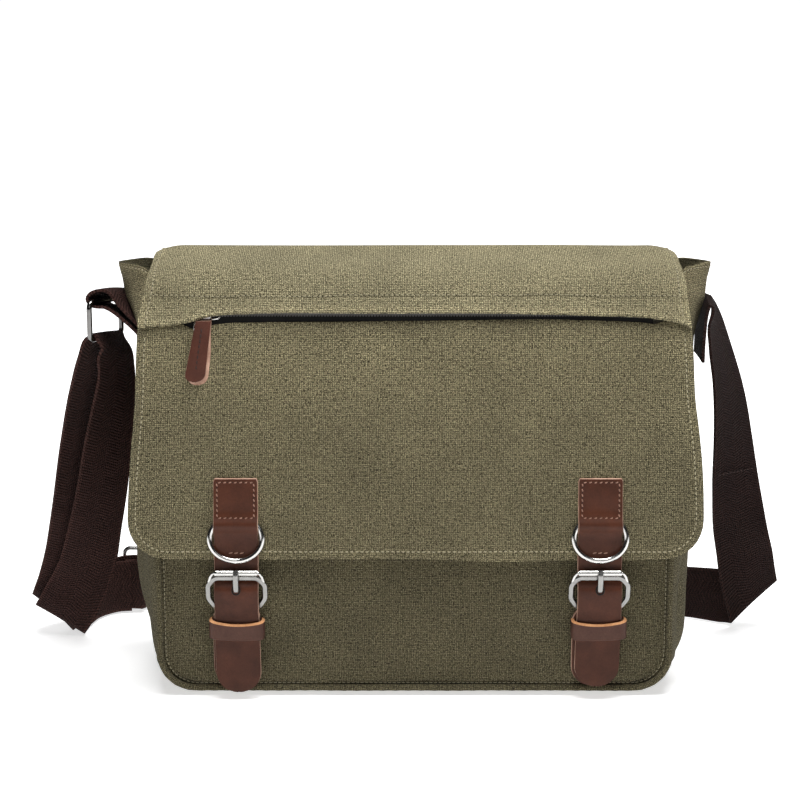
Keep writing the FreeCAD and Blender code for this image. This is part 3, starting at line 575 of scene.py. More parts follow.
def leather(name, light, dark, rough=0.42, grain=1.0):
    """Smooth pull-up leather: soft clouds of tone, fine grain, and a dull shine."""
    g = Graph(name)
    place = g.place()
    clouds = g.ramp(g.noise(place, 55.0, 4.0, 0.6), 0.3, 0.7)
    fine = g.noise(place, 900.0, 2.0, 0.6)
    pores = g.nodes.new("ShaderNodeTexVoronoi")
    g.feed(pores.inputs["Vector"], place)
    pores.inputs["Scale"].default_value = 1500.0
    colour = g.mix(clouds, dark, light)
    colour = g.scaled(colour, g.ramp(fine, 0.3, 0.7, 0.88, 1.12))
    height = g.add(g.mul(pores.outputs["Distance"], 0.5), fine)
    g.bump(height, 0.00008 * grain, 0.6)
    return g.finish(colour, g.ramp(clouds, 0, 1, rough + 0.07, rough - 0.04), specular=0.2)


def raw_edge(name, light, dark):
    """Cut leather: pale fibres, darker where the dye has crept in."""
    g = Graph(name)
    place = g.place()
    fibre = g.ramp(g.noise(place, 700.0, 3.0, 0.65), 0.3, 0.7)
    stain = g.ramp(g.noise(place, 90.0, 2.0), 0.35, 0.65)
    colour = g.mix(g.mul(g.add(fibre, stain), 0.5), dark, light)
    g.bump(fibre, 0.0002, 0.7)
    return g.finish(colour, 0.85, specular=0.2)


def metal(name, colour, rough=0.16, wear=0.12):
    """Plated wire and castings: bright, with faint wear and handling marks."""
    g = Graph(name)
    place = g.place()
    smear = g.ramp(g.noise(place, 120.0, 3.0, 0.6), 0.3, 0.7)
    scratch = g.noise(place, 1400.0, 2.0, 0.7)
    tone = g.scaled(colour, g.ramp(smear, 0, 1, 0.9, 1.06))
    g.bump(scratch, 0.00002, 0.35)
    return g.finish(tone, g.ramp(smear, 0, 1, rough + wear, rough), metallic=1.0)


def plain_cloth(name, light, dark, pitch=0.5, rough=0.85):
    """Thin, close cloth, for linings, tapes and binding."""
    g = Graph(name)
    x, y = g.cloth_place()
    cross = g.mul(g.math("SINE", g.mul(x, math.pi / pitch)),
                   g.math("SINE", g.mul(y, math.pi / pitch)))
    speck = g.ramp(g.noise(g.joined(x, y, 2.0), 1.3, 2.0, 0.6), 0.3, 0.7)
    slow = g.ramp(g.noise(g.joined(x, y, 9.0), 0.03), 0.3, 0.7, 0.96, 1.04)
    tone = g.add(g.mul(g.ramp(cross, -1, 1), 0.5), g.mul(speck, 0.5))
    g.bump(cross, 0.00012, 0.7)
    return g.finish(g.scaled(g.mix(tone, dark, light), slow), rough, specular=0.25)


def thread_material(name, light, dark):
    """Twisted sewing thread."""
    g = Graph(name)
    twist = g.ramp(g.noise(g.place(), 1600.0, 2.0, 0.6), 0.3, 0.7)
    g.bump(twist, 0.00008, 0.6)
    return g.finish(g.mix(twist, dark, light), 0.7, specular=0.3)


# One canvas in three tones. The band's is lighter, as painted light on the flap's top, which faces the
# lamp. The flap panel's is darker, and the body's darker still.
BODY_CANVAS = canvas("canvas_body", (0.228, 0.197, 0.112), (0.0085, 0.0064, 0.0024))
FLAP_CANVAS = canvas("canvas_flap", (0.335, 0.292, 0.168), (0.0117, 0.009, 0.0034))
BAND_CANVAS = canvas("canvas_band", (0.505, 0.447, 0.268), (0.032, 0.0257, 0.01))
INSIDE_CANVAS = canvas("canvas_inside", (0.22, 0.195, 0.11), (0.04, 0.035, 0.018))
LINING = plain_cloth("lining_cloth", (0.115, 0.105, 0.078), (0.06, 0.054, 0.04))
WEBBING = webbing("webbing_brown", (0.05, 0.0225, 0.018), (0.0065, 0.003, 0.0027))
LEATHER = leather("leather_brown", (0.084, 0.0245, 0.0108), (0.042, 0.0128, 0.006))
KEEPER_LEATHER = leather("leather_keeper", (0.096, 0.043, 0.03), (0.062, 0.027, 0.019), 0.46)
PULL_LEATHER = leather("leather_pull", (0.1, 0.033, 0.02), (0.054, 0.018, 0.0115), 0.4)
FLESH_SIDE = leather("leather_back", (0.19, 0.1, 0.07), (0.11, 0.055, 0.038), 0.8, 2.0)
RAW_EDGE = raw_edge("leather_edge", (0.62, 0.4, 0.3), (0.3, 0.16, 0.11))
TAN_EDGE = raw_edge("leather_edge_tan", (0.8, 0.42, 0.2), (0.45, 0.2, 0.085))
NICKEL = metal("metal_nickel", (0.6, 0.59, 0.57), 0.1, 0.08)
DARK_NICKEL = metal("metal_ring", (0.19, 0.185, 0.18), 0.08, 0.06)
SATIN = metal("metal_satin", (0.3, 0.295, 0.285), 0.2, 0.1)
ZIP_METAL = metal("metal_zip", (0.1, 0.095, 0.09), 0.32, 0.15)
ZIP_TAPE = plain_cloth("zip_tape", (0.011, 0.0105, 0.01), (0.0045, 0.0042, 0.004), 0.6, 0.8)
OLIVE_THREAD = thread_material("thread_olive", (0.5, 0.45, 0.3), (0.26, 0.23, 0.14))
BAND_THREAD = thread_material("thread_band", (0.4, 0.36, 0.23), (0.2, 0.18, 0.105))
PALE_THREAD = thread_material("thread_pale", (0.42, 0.24, 0.17), (0.2, 0.1, 0.07))
DARK_THREAD = thread_material("thread_dark", (0.05, 0.025, 0.02), (0.02, 0.01, 0.008))
HOLE = thread_material("needle_hole", (0.014, 0.009, 0.006), (0.007, 0.005, 0.003))

CLOTH = (BODY_CANVAS, INSIDE_CANVAS, BODY_CANVAS)
# The gusset's canvas lightens more where wear is set, for painted light on the ears.
GUSSET_CANVAS = canvas("canvas_gusset", (0.228, 0.197, 0.112), (0.0085, 0.0064, 0.0024), wear_and_light_gain=2.25)
GUSSET_CLOTH = (GUSSET_CANVAS, INSIDE_CANVAS, GUSSET_CANVAS)
STRAP = (LEATHER, FLESH_SIDE, RAW_EDGE)


def put(piece, body, slot, *nodes):
    """The piece moves with body and stands for those CAD nodes, which are hidden. slot is not used."""
    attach(piece, body)
    if nodes:
        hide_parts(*nodes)
    return piece


def sew(name, thread, colour, body="bag", slot="canvas"):
    """Gives the stitches a mesh and lets them move with body."""
    return put(thread.build(name, [colour, HOLE]), body, slot)


def bend(piece, bodies, start, end, slot, *nodes):
    """The piece keeps its place, baked into its mesh, and those CAD nodes are hidden. bodies, start,
    end and slot are not used.
    """
    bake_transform(piece)
    if nodes:
        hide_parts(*nodes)
    return piece


LIFT = (("bag", "flap_top"), (0, 36, 0), (0, 31, 0))
FOLD = (("flap_top", "flap_front"), (0, -20.5, 292.5), (0, -29.5, 284.5))


# Body: two panels joined by one band of cloth that runs down a side, under, and up the other.

def panel_half(z):
    """Half-width of a panel with rounded lower corners."""
    below = np.clip(PANEL_CORNER - (np.asarray(z, float) - PANEL_FOOT), 0, PANEL_CORNER)
    return PANEL_HALF - PANEL_CORNER + np.sqrt(np.maximum(PANEL_CORNER**2 - below**2, 0))


def panel_rows(top):
    """Heights of a panel's rows, close together round its lower corners."""
    turn = np.linspace(0.06, math.pi / 2, 9)
    return np.concatenate([[PANEL_FOOT], PANEL_FOOT + PANEL_CORNER * (1 - np.cos(turn)),
                           np.linspace(PANEL_FOOT + PANEL_CORNER, top, 40)[1:]])


def front_face(x, z):
    """Depth of the front panel's outer face: a little full below the flap, drawn in at its seam."""
    edge = panel_half(z) - np.abs(x)
    full = 2.0 * np.sin(math.pi * np.clip((z - 8) / 96, 0, 1)) ** 1.4
    full = full * (1 - np.clip(np.abs(x) / 172, 0, 1) ** 4)
    drawn = 1.7 * (1 - step(0, 9, edge)) + 1.6 * (1 - step(0, 8, z - PANEL_FOOT))
    waves = 0.5 * ripple(x, z, 3, 70) * step(4, 30, edge) * (1 - step(92, 104, z))
    return front_y(z) - full - waves + drawn


def body_panel(name, top, face, faces_front, node):
    """A panel of the body. Its sides run in under the piping."""
    z = panel_rows(top)
    u = np.sin(np.linspace(-math.pi / 2, math.pi / 2, 75)) * 0.75 + np.linspace(-1, 1, 75) * 0.25
    half = panel_half(z)
    x = u[:, None] * (half + SEAM_UNDER_CORD)
    z = np.broadcast_to(z, x.shape)
    wear = 1 - step(0, 7, np.minimum(half - np.abs(x), z - PANEL_FOOT))
    grid = join(x, face(x, z), z)
    piece = sheet_mesh(name, grid, join(x, z), 1.6, CLOTH, flip=not faces_front, wear=wear * 0.6)
    put(piece, "bag", "canvas", node)


def outline(x_half, foot, corner, top, gap=4.0):
    """The line round a panel, from the top of the left side, under, and up the right side."""
    path = rounded([(-x_half, 0, top), (-x_half, 0, foot), (x_half, 0, foot), (x_half, 0, top)],
                   corner, 12, closed=False)
    return dense(path, gap)


def gusset_band():
    """Sides and base in one band. It stands out between the panels and opens into ears at the top."""
    path = outline(EDGE_X, EDGE_FOOT, PANEL_CORNER + 3, GUSSET_TOP, 3.6)
    ahead = unit(np.gradient(path, axis=0))
    outward = join(-ahead[:, 2], np.zeros(len(path)), ahead[:, 0]) * -1
    outward[:, 0] = np.where(np.abs(outward[:, 0]) < 1e-9, 0, outward[:, 0])
    outward = outward * np.where(outward[:, :1] * path[:, :1] < 0, -1, 1)
    t = np.linspace(0, 1, 45)
    height = path[:, 2]
    side = np.abs(path[:, 0]) > EDGE_X - 0.5
    bulge = smooth(GUSSET_WIDTH, height) - EDGE_X
    turned = np.abs(outward[:, 0])
    bulge = np.where(side, bulge, 7.6 * turned ** 1.5 + 0.6)
    left = path[:, 0] < 0
    ear = step(252, 282, height)[:, None]
    round_shape = 1 - np.abs(2 * t - 1) ** 2.7
    ear_shape = 1 - np.sqrt((2 * t - 1) ** 2 * 0.94 + 0.06 * (1 - ear * 0.6)) ** 1.25
    ear_shape = ear_shape / ear_shape.max(axis=1, keepdims=True)
    shape = round_shape * (1 - ear) + ear_shape * ear
    front, back = front_y(height) + 0.6, back_y(height) - 0.6
    y = front[:, None] + (back - front)[:, None] * t
    run = lengths(path)
    across, down = np.broadcast_arrays(t * 112, run[:, None])
    soft = np.sin(math.pi * t) ** 0.7 * step(8, 40, height)[:, None]
    folds = 1.5 * ripple(across, down * 0.35, 21, 46, 0.0, 0.35) * soft
    sag = 1.2 * ripple(across, down, 22, 60) * soft
    crease = -5.0 * np.exp(-((t - 0.13) / 0.05) ** 2) * hump(72, 26, height)[:, None]
    crease = crease * np.where(left, 0.25, 1.0)[:, None]
    tuck = -3.2 * np.exp(-((t - 0.16 - 0.1 * step(60, 110, height)[:, None]) / 0.045) ** 2)
    tuck = tuck * hump(98, 30, height)[:, None] * np.where(left, 1.0, 0.2)[:, None]
    calm = 1 - 0.7 * step(255, 275, height)[:, None]
    push = bulge[:, None] * shape + (folds + sag) * calm + crease + tuck
    push = np.where(outward[:, 2:3] < -0.7, np.minimum(push, 1.9), push)
    x = path[:, :1] + outward[:, :1] * push
    z = height[:, None] + outward[:, 2:3] * push
    flange = hump(0, 0.09, t) * 4.5 + hump(1, 0.09, t) * 2.5
    top = step(258, 294, height)[:, None]
    z = z - top * flange
    z = np.maximum(z, 0.0)
    grid = join(x, y, z)
    uv = join(across, down)
    hem_zone = step(286, 288, z)
    # wear here is painted light on the ears at the top, which face the lamp, with real wear along both
    # edges.
    wear = np.maximum(step(225, 283, z), 0.12 * (1 - step(0, 0.05, np.minimum(t, 1 - t))))
    piece = sheet_mesh("gusset_band", grid, uv, 1.7, GUSSET_CLOTH, flip=True, hem=hem_zone * 0.7,
                       wear=wear)
    put(piece, "bag", "canvas", "gusset_left", "gusset_right", "base_panel")
    thread = Thread()
    for end, below in ((0, 1), (-1, -2)):
        line = grid[end] + unit(grid[below] - grid[end]) * 2.6
        facing = -normals_of(grid)[end]
        thread.line((line + facing * 0.8)[3:-3], facing[3:-3], *EAR_STITCH)
    sew("gusset_stitching", thread, OLIVE_THREAD)


def pipings():
    """Cord in a folded strip of canvas along each panel's seam."""
    for name, line, offset, node, top in (("front_piping_cord", front_y, -0.4, "front_piping", 282),
                                          ("back_piping_cord", back_y, 0.4, "back_piping", 292)):
        path = outline(PIPING_X, PIPING_FOOT, PANEL_CORNER + 1.5, top, 3.0)
        path[:, 1] = line(path[:, 2]) + offset
        run = lengths(path)
        sides = np.where(np.abs(path[:, 0]) > PIPING_X - 0.5, 1.0, 0.6)
        path[:, 1] += 0.35 * ripple(run, run * 0, 31, 60)
        path[:, 0] += 0.5 * ripple(run, run * 0, 32, 80) * sides * step(20, 60, path[:, 2])
        fat = 2.35 + 0.12 * np.sin(run * 2 * math.pi / 9.0)
        piece = tube(name, path, fat, [BODY_CANVAS], 14)
        put(piece, "bag", "canvas", node)
        seam = outline(PANEL_HALF - 1.0, PANEL_FOOT + 0.6, PANEL_CORNER - 1, top - 4, 3.0)
        away = -1 if line is front_y else 1
        seam[:, 1] = line(seam[:, 2]) + away * -1.2
        thread = Thread()
        thread.line(seam, (0, away, 0), *SEAM_STITCH)
        sew(name.replace("cord", "stitching"), thread, OLIVE_THREAD)


def back_face(x, z):
    """Depth of the back panel's outer face: full in the middle, drawn in at its seam."""
    edge = panel_half(z) - np.abs(x)
    full = 2.2 * np.sin(math.pi * np.clip((z - 8) / 270, 0, 1)) * (1 - (np.abs(x) / 172) ** 4)
    drawn = 1.6 * (1 - step(0, 9, edge)) + 1.4 * (1 - step(0, 8, z - PANEL_FOOT))
    return back_y(z) + full - drawn + 0.9 * ripple(x, z, 5, 110) * step(4, 40, edge)


def lining_sack():
    """The lining: one sack that follows the shell 4 mm inside it, with its own floor."""
    turn = np.linspace(0, 2 * math.pi, 120, endpoint=False)
    z = np.concatenate([[4.6, 4.8, 5.2], np.linspace(7, 40, 12), np.linspace(46, 276, 40)])
    half = smooth([(4, 150), (12, 166), (30, 178), (60, 184), (110, 187), (248, 187), (262, 190),
                   (278, 193)], z)
    squeeze = np.concatenate([[0.05, 0.5, 0.93], np.ones(len(z) - 3)])
    cx, sx = np.cos(turn), np.sin(turn)
    flat = np.sign(sx) * np.abs(sx) ** 0.3
    wide = np.sign(cx) * np.abs(cx) ** 0.55
    x = wide[:, None] * half * squeeze
    near, far = front_y(z) + 4.6, back_y(z) - 4.6
    middle, reach = (near + far) / 2, (far - near) / 2 * squeeze
    y = middle + flat[:, None] * reach
    loose = ripple(x, z, 41, 55) * (step(12, 40, z) * (1 - step(250, 270, z)))
    y = y - np.sign(flat)[:, None] * np.abs(loose) * 0.8
    grid = join(x, y, z)
    uv = join(turn[:, None] * 170, z)
    piece = sheet_mesh("lining_sack", grid, uv, 0.7, (LINING, LINING, LINING), ring=True, flip=True)
    put(piece, "bag", "lining_cloth", "lining")


def inner_fittings():
    """Padded divider, slip pocket, and the tape over the front panel's top edge."""
    u = np.linspace(-1, 1, 61)
    z = np.linspace(30, 228, 49)
    x = u[:, None] * 160 * np.ones(len(z))
    height = np.broadcast_to(z, x.shape)
    edge = np.minimum(160 - np.abs(x), np.minimum(height - 30, 228 - height))
    plump = 2.2 * np.sqrt(step(-0.5, 9, edge)) + 0.25
    quilt = np.abs(np.sin((x + height) * math.pi / 46)) * np.abs(np.sin((x - height) * math.pi / 46))
    plump = plump * (0.72 + 0.28 * quilt ** 0.35)
    middle = back_y(height) - 21
    grid = join(x, middle - plump, height)
    back = join(x, middle + plump, height)
    loops = np.concatenate([grid, back[::-1]])
    uv = np.concatenate([join(x, height), join(x, height)[::-1]])
    piece = sheet_mesh("divider_pad", loops, uv, 0.25, (LINING, LINING, LINING), ring=True)
    put(piece, "bag", "padding", "laptop_divider")
    u = np.linspace(-1, 1, 41)
    z = np.linspace(70, 200, 27)
    x = u[:, None] * 120 * np.ones(len(z))
    height = np.broadcast_to(z, x.shape)
    gape = 2.4 * step(170, 200, height) * (1 - (x / 120) ** 2)
    grid = join(x, front_y(height) + 6.5 + gape, height)
    piece = sheet_mesh("slip_pocket_cloth", grid, join(x, height), 0.9,
                       (LINING, LINING, LINING), flip=True, hem=0.5 * step(190, 192, height))
    put(piece, "bag", "lining_cloth", "slip_pocket")
    fold = [(-0.4, 275.5), (-0.5, 283.5), (0.1, 285.4), (2.0, 286.1), (3.9, 285.4), (4.6, 283.5),
            (4.4, 275.5)]
    y_top = float(front_y(284.0))
    x = np.linspace(-PANEL_HALF + 0.5, PANEL_HALF - 0.5, 60)
    grid = np.array([[(px, y_top + dy + float(front_y(z) - y_top) * (z < 284), z) for dy, z in fold]
                     for px in x])
    run = lengths([(0, dy, z) for dy, z in fold])
    uv = join(x[:, None], run)
    piece = sheet_mesh("mouth_tape", grid, uv, 0.5, CLOTH, wear=hump(11, 5, run))
    put(piece, "bag", "canvas", "mouth_binding")


body_panel("front_panel_cloth", PANEL_TOP, front_face, True, "front_panel")
body_panel("back_panel_cloth", 297, back_face, False, "back_panel")
gusset_band()
pipings()
lining_sack()
inner_fittings()

# Flap: a band over the top and down to the zip, a panel below it, and a lining behind both.

def flap_table():
    """The flap's path by distance along it: depth, height, left and right edges, droop."""
    rows = np.array(FLAP_PATH, float)
    run = lengths(join(rows[:, 0], rows[:, 1], rows[:, 1] * 0))
    return [(s, *row) for s, row in zip(run, rows.tolist())]


FLAP_TABLE = flap_table()
FLAP_RUN = FLAP_TABLE[-1][0]


def flap_run_at(column, value):
    """Distance along the flap where its depth (0) or height (1) reaches value, on the way down."""
    run = np.linspace(20, FLAP_RUN, 600)
    values = smooth(FLAP_TABLE, run)[:, column]
    return np.interp(-np.asarray(value, float), -values, run)


def flap_cloth(u, run, sink=0.0, narrow=0.0):
    """Points of the flap's upper part. u is -1 to 1 across, run the distance along it."""
    y, z, left, right, droop = np.moveaxis(smooth(FLAP_TABLE, run), -1, 0)
    x = np.where(u < 0, u * (left - narrow), u * (right - narrow))
    reach = np.where(x < 0, left, right)
    fall = np.clip((np.abs(x) - (reach - 20)) / 20, 0, 1) ** 2.2
    slope = np.gradient(join(y, z), axis=1)
    out = unit(join(slope[..., 1], -slope[..., 0]))
    facing = np.where((out[..., 1:2] < 0) & (y[..., None] > -20), -out, out)
    wave = 0.7 * ripple(x, run * 2.2, 51, 120) * step(8, 40, reach - np.abs(x))
    wave = wave + 0.9 * ripple(x, run, 52, 70) * step(70, 95, run) * step(60, 150, -x)
    lift = wave * step(12, 30, run) - sink
    hug = 2.6 * (step(138, 186, -x) + step(162, 188, x)) * step(86, 100, run)
    y = y + facing[..., 0] * lift + hug
    z = z + facing[..., 1] * lift - droop * fall
    return x, y, z


def side_stitches(thread, grid, proud, stitch, end=None):
    """A row of stitches inside each side edge of the flap."""
    facing = -normals_of(grid)
    for column, towards in ((0, 1), (-1, -2)):
        line = grid[column] + unit(grid[towards] - grid[column]) * 5.5 + facing[column] * proud
        thread.line(line[:end], facing[column][:end], *stitch)


def flap_pieces():
    """The crown behind the mouth, and the band in front of it, folded over the zip."""
    split = float(flap_run_at(0, SPLIT_DEPTH))
    u = np.sin(np.linspace(-math.pi / 2, math.pi / 2, 121)) * 0.45 + np.linspace(-1, 1, 121) * 0.55
    cloth = (BAND_CANVAS, INSIDE_CANVAS, BAND_CANVAS)
    run = np.linspace(0, split, 26)
    runs = np.broadcast_to(run, (121, 26))
    x, y, z = flap_cloth(u[:, None] + runs * 0, runs)
    edge = step(4, 9, np.minimum(runs + 3, 182 - np.abs(x)))
    crown = join(x, y, z)
    piece = sheet_mesh("flap_crown_back", crown, join(x, -runs), 1.6, cloth,
                       flip=True, wear=(1 - edge) * 0.8, hem=0.5 * (1 - edge))
    bend(piece, *LIFT, "canvas", "flap_band_top")
    thread = Thread()
    row = np.argmin(np.abs(run - 7))
    facing = -normals_of(crown)[:, row]
    line = crown[:, row] + facing * 0.1
    thread.line(line[3:-3], facing[3:-3], *BAND_STITCH)
    side_stitches(thread, crown, 0.4, BAND_STITCH)
    bend(thread.build("flap_crown_stitching", [OLIVE_THREAD, HOLE]), *LIFT, "canvas")

    share = np.concatenate([np.linspace(0, 0.93, 46), np.linspace(0.95, 1, 6)])
    left = smooth(FLAP_TABLE, 100.0)[2]
    end = flap_run_at(1, smooth(WELT, u * left))
    runs = split + (end[:, None] - split) * share
    x, y, z = flap_cloth(u[:, None] + runs * 0, runs)
    y = y + 0.9 * (share > 0.985)
    reach = np.where(x < 0, 186.5, 185)
    rim = np.minimum(reach + 2 - np.abs(x), (1 - share) * (end[:, None] - split))
    edge = step(2, 7, rim)
    band = join(x, y, z)
    piece = sheet_mesh("flap_band", band, join(x, -runs), 1.7, cloth, flip=True,
                       wear=(1 - edge), hem=0.4 * (1 - step(9, 11, rim)))
    bend(piece, *FOLD, "canvas", "flap_band_front")
    facing = -normals_of(band)
    line, outs = [], []
    for i in range(2, len(u) - 2):
        want = flap_run_at(1, 277.6 + 0.5 * math.sin(x[i, -1] / 50))
        j = int(np.argmin(np.abs(runs[i] - want)))
        line.append(band[i, j])
        outs.append(facing[i, j])
    smoothed = np.array(line)
    for _ in range(3):
        smoothed[1:-1] = (smoothed[:-2] + smoothed[1:-1] * 2 + smoothed[2:]) / 4
    low_line = Thread()
    low_line.line(smoothed + np.array(outs) * 0.5, np.array(outs), *LOW_STITCH)
    bend(low_line.build("flap_band_low_stitching", [BAND_THREAD, HOLE]), *FOLD, "canvas")
    thread = Thread()
    side_stitches(thread, band, 0.45, FLAP_STITCH, -2)
    bend(thread.build("flap_band_stitching", [OLIVE_THREAD, HOLE]), *FOLD, "canvas")


def flap_y(x, z):
    """Depth of the flap panel's outer face."""
    left, right = np.moveaxis(smooth(FLAP_SIDES, z), -1, 0)
    reach = np.where(x < 0, left, right)
    roll = 4.2 * np.clip((np.abs(x) - (reach - 18)) / 18, 0, 1) ** 2
    wave = 0.55 * ripple(x, z, 61, 130) + 0.3 * ripple(x, z, 62, 52)
    near = np.maximum(hump(CLOSURE_X, 30, np.abs(x)) * (1 - step(150, 185, z)), 0)
    wave = wave * (1 - 0.85 * near) * step(0, 30, reach - np.abs(x) + 10)
    puff = 1.3 * np.sin(math.pi * np.clip((z - 100) / 155, 0, 1)) * (1 - (x / 198) ** 4) * (1 - near)
    return front_y(z) - 4.2 - 0.5 - wave - puff + roll


def flap_half(z):
    """Left and right half-widths of the flap panel, with its rounded lower corners."""
    left, right = np.moveaxis(smooth(FLAP_SIDES, z), -1, 0)
    below = np.clip(FLAP_CORNER - (z - FLAP_FOOT), 0, FLAP_CORNER)
    cut = FLAP_CORNER - np.sqrt(np.maximum(FLAP_CORNER**2 - below**2, 0))
    return left - cut, right - cut


def flap_panel():
    """The flap below the zip, with a turned hem round it."""
    u = np.sin(np.linspace(-math.pi / 2, math.pi / 2, 161)) * 0.6 + np.linspace(-1, 1, 161) * 0.4
    turn = np.linspace(0.05, math.pi / 2, 9)
    share = np.concatenate([[0], FLAP_CORNER * (1 - np.cos(turn)) / 158,
                            np.linspace(FLAP_CORNER / 158, 1, 62)[1:]])
    across = u * 190
    shut = np.where(across < 0, step(147, 166, -across), step(163, 177, across))
    gap = ZIP_GAP + 0.9 * step(20, 100, -across) - 1.7 * step(0, 110, across)
    top = smooth(WELT, across) - gap * (1 - 1.3 * shut)
    z = FLAP_FOOT + share * (top[:, None] - FLAP_FOOT)
    left, right = flap_half(z)
    x = np.where(u[:, None] < 0, u[:, None] * left, u[:, None] * right)
    y = flap_y(x, z) + 1.0 * step(-3.6, -0.4, z - top[:, None])
    z = z + 0.9 * ripple(x, z * 0, 63, 110) * (1 - step(100, 112, z)) - 0.4
    grid = join(x, y, z)
    rim = np.minimum(np.where(x < 0, left, right) - np.abs(x), z - FLAP_FOOT)
    corner_x = np.maximum(np.abs(x) - (FLAP_WIDEST - FLAP_CORNER), 0)
    corner_z = np.maximum(FLAP_FOOT + FLAP_CORNER - z, 0)
    round_rim = FLAP_CORNER - np.hypot(corner_x, corner_z)
    rim = np.where((corner_x > 0) & (corner_z > 0), np.minimum(rim, np.maximum(round_rim, 0)), rim)
    hem = 0.75 * (1 - step(7.5, 9.5, rim)) * (1 - 0.7 * (1 - step(0, 1.5, rim)))
    wear = np.maximum(1 - step(0, 3.2, rim), 0.35 * (1 - step(4, 9, rim)))
    # Painted light: the panel is lighter higher up, except a strip just below the band, which is left
    # darker as a painted shadow.
    wear = np.maximum(wear, 0.9 * step(170, 240, z) * (1 - 0.85 * step(244, 258, z)))
    piece = sheet_mesh("flap_panel_cloth", grid, join(x, z), 1.5,
                       (FLAP_CANVAS, INSIDE_CANVAS, FLAP_CANVAS), wear=wear, hem=hem)
    put(piece, "flap_front", "canvas", "flap_panel")
    low = FLAP_FOOT + FLAP_CORNER
    heights = np.linspace(250, low, 60)
    left, right = flap_half(heights)
    inner = FLAP_CORNER - HEM_LINE
    wide_left, wide_right = smooth(FLAP_SIDES, low) - FLAP_CORNER
    turn = np.linspace(0, math.pi / 2, 16)[1:-1]
    path = [(-(w - HEM_LINE), z) for w, z in zip(left, heights)]
    path += [(-wide_left - inner * math.cos(t), low - inner * math.sin(t)) for t in turn]
    path += [(px, FLAP_FOOT + HEM_LINE) for px in np.linspace(-wide_left, wide_right, 120)]
    path += [(wide_right + inner * math.sin(t), low - inner * math.cos(t)) for t in turn]
    path += [(w - HEM_LINE, z) for w, z in zip(right[::-1], heights[::-1])]
    x, z = np.array(path).T
    path = join(x, flap_y(x, z) - 0.75, z)
    thread = Thread()
    thread.line(dense(path, 1.5), (0, -1, 0), *FLAP_STITCH)
    sew("flap_panel_stitching", thread, OLIVE_THREAD, "flap_front")


def flap_linings():
    """Thin lining behind the flap, in two pieces that meet at the middle of the top."""
    cloth = (LINING, LINING, LINING)
    split = float(flap_run_at(0, SPLIT_DEPTH))
    u = np.linspace(-1, 1, 61)
    runs = np.broadcast_to(np.linspace(14, split, 16), (61, 16))
    x, y, z = flap_cloth(u[:, None] + runs * 0, runs, 2.1, 5.0)
    piece = sheet_mesh("flap_lining_rear", join(x, y, z), join(x, -runs), 0.5, cloth, flip=True)
    bend(piece, *LIFT, "lining_cloth", "flap_lining_top")
    over = np.linspace(split, float(flap_run_at(1, 288.2)), 14)
    x1, y1, z1 = flap_cloth(u[:, None] + np.zeros(14), np.broadcast_to(over, (61, 14)), 2.1, 5.0)
    z2 = np.broadcast_to(np.linspace(281.5, 103, 50), (61, 50))
    left, right = flap_half(z2)
    x2 = np.where(u[:, None] < 0, u[:, None] * (left - 4.5), u[:, None] * (right - 4.5))
    y2 = front_y(z2) - 1.5 + 0.5 + 4.2 * np.clip((np.abs(x2) - 178) / 18, 0, 1) ** 2
    grid = np.concatenate([join(x1, y1, z1), join(x2, y2, z2)], 1)
    for _ in range(4):
        middle = grid[:, 8:22].copy()
        grid[:, 9:21] = (middle[:, :-2] + middle[:, 1:-1] * 2 + middle[:, 2:]) / 4
    run = np.cumsum(np.concatenate([[0], np.linalg.norm(np.diff(grid[30], axis=0), axis=1)]))
    uv = join(grid[..., 0], -run)
    piece = sheet_mesh("flap_lining_cloth", grid, uv, 0.5, cloth, flip=True)
    bend(piece, *FOLD, "lining_cloth", "flap_lining_front")


# Zip under the welt.

def teeth_line(x):
    """Height of the zip's middle: it runs just under the welt."""
    return ZIP_MIDDLE - step(120, TEETH_HALF, np.abs(x))


def zip_parts():
    """Two tapes, and two rows of teeth that mesh."""
    x = np.linspace(-TAPE_HALF, TAPE_HALF, 90)
    for name, low, high in (("lower", -9.6, -1.4), ("upper", 1.4, 9.6)):
        rows = np.linspace(low, high, 6)
        z = teeth_line(x)[:, None] + rows
        grid = join(x[:, None], front_y(z) - 2.5, z)
        piece = sheet_mesh(f"zip_tape_{name}", grid, join(grid[..., 0], z), 0.5,
                           (ZIP_TAPE, ZIP_TAPE, ZIP_TAPE))
        put(piece, "flap_front", "zip_tape", *(["zip_tapes"] if name == "lower" else []))
    points, faces = [], []
    for i in range(int(2 * TEETH_HALF / ZIP_PITCH)):
        at = (i + 0.5) * ZIP_PITCH - TEETH_HALF
        for sign in (-1, 1):
            px = at + (0.5 if sign > 0 else -0.5)
            middle = float(teeth_line(px))
            near, far = middle - sign * 0.75, middle + sign * 2.1
            base = len(points)
            for level, wide, tall in ((-2.55, 0.62, 0.12), (-3.85, 0.62, 0.12), (-4.15, 0.4, 0.35)):
                low, high = sorted((near + sign * tall, far - sign * tall))
                depth = float(front_y(middle)) + level
                for cx, cz in ((-wide, low), (wide, low), (wide, high), (-wide, high)):
                    points.append((px + cx, depth, cz))
            for ring in (base, base + 4):
                for k in range(4):
                    n = (k + 1) % 4
                    faces.append((ring + k, ring + n, ring + 4 + n, ring + 4 + k))
            faces.append((base + 3, base + 2, base + 1, base))
            faces.append((base + 8, base + 9, base + 10, base + 11))
    teeth = mesh_object("zip_chain", points, faces, [ZIP_METAL], sharp=30)
    put(teeth, "flap_front", "zip_metal", "zip_teeth")


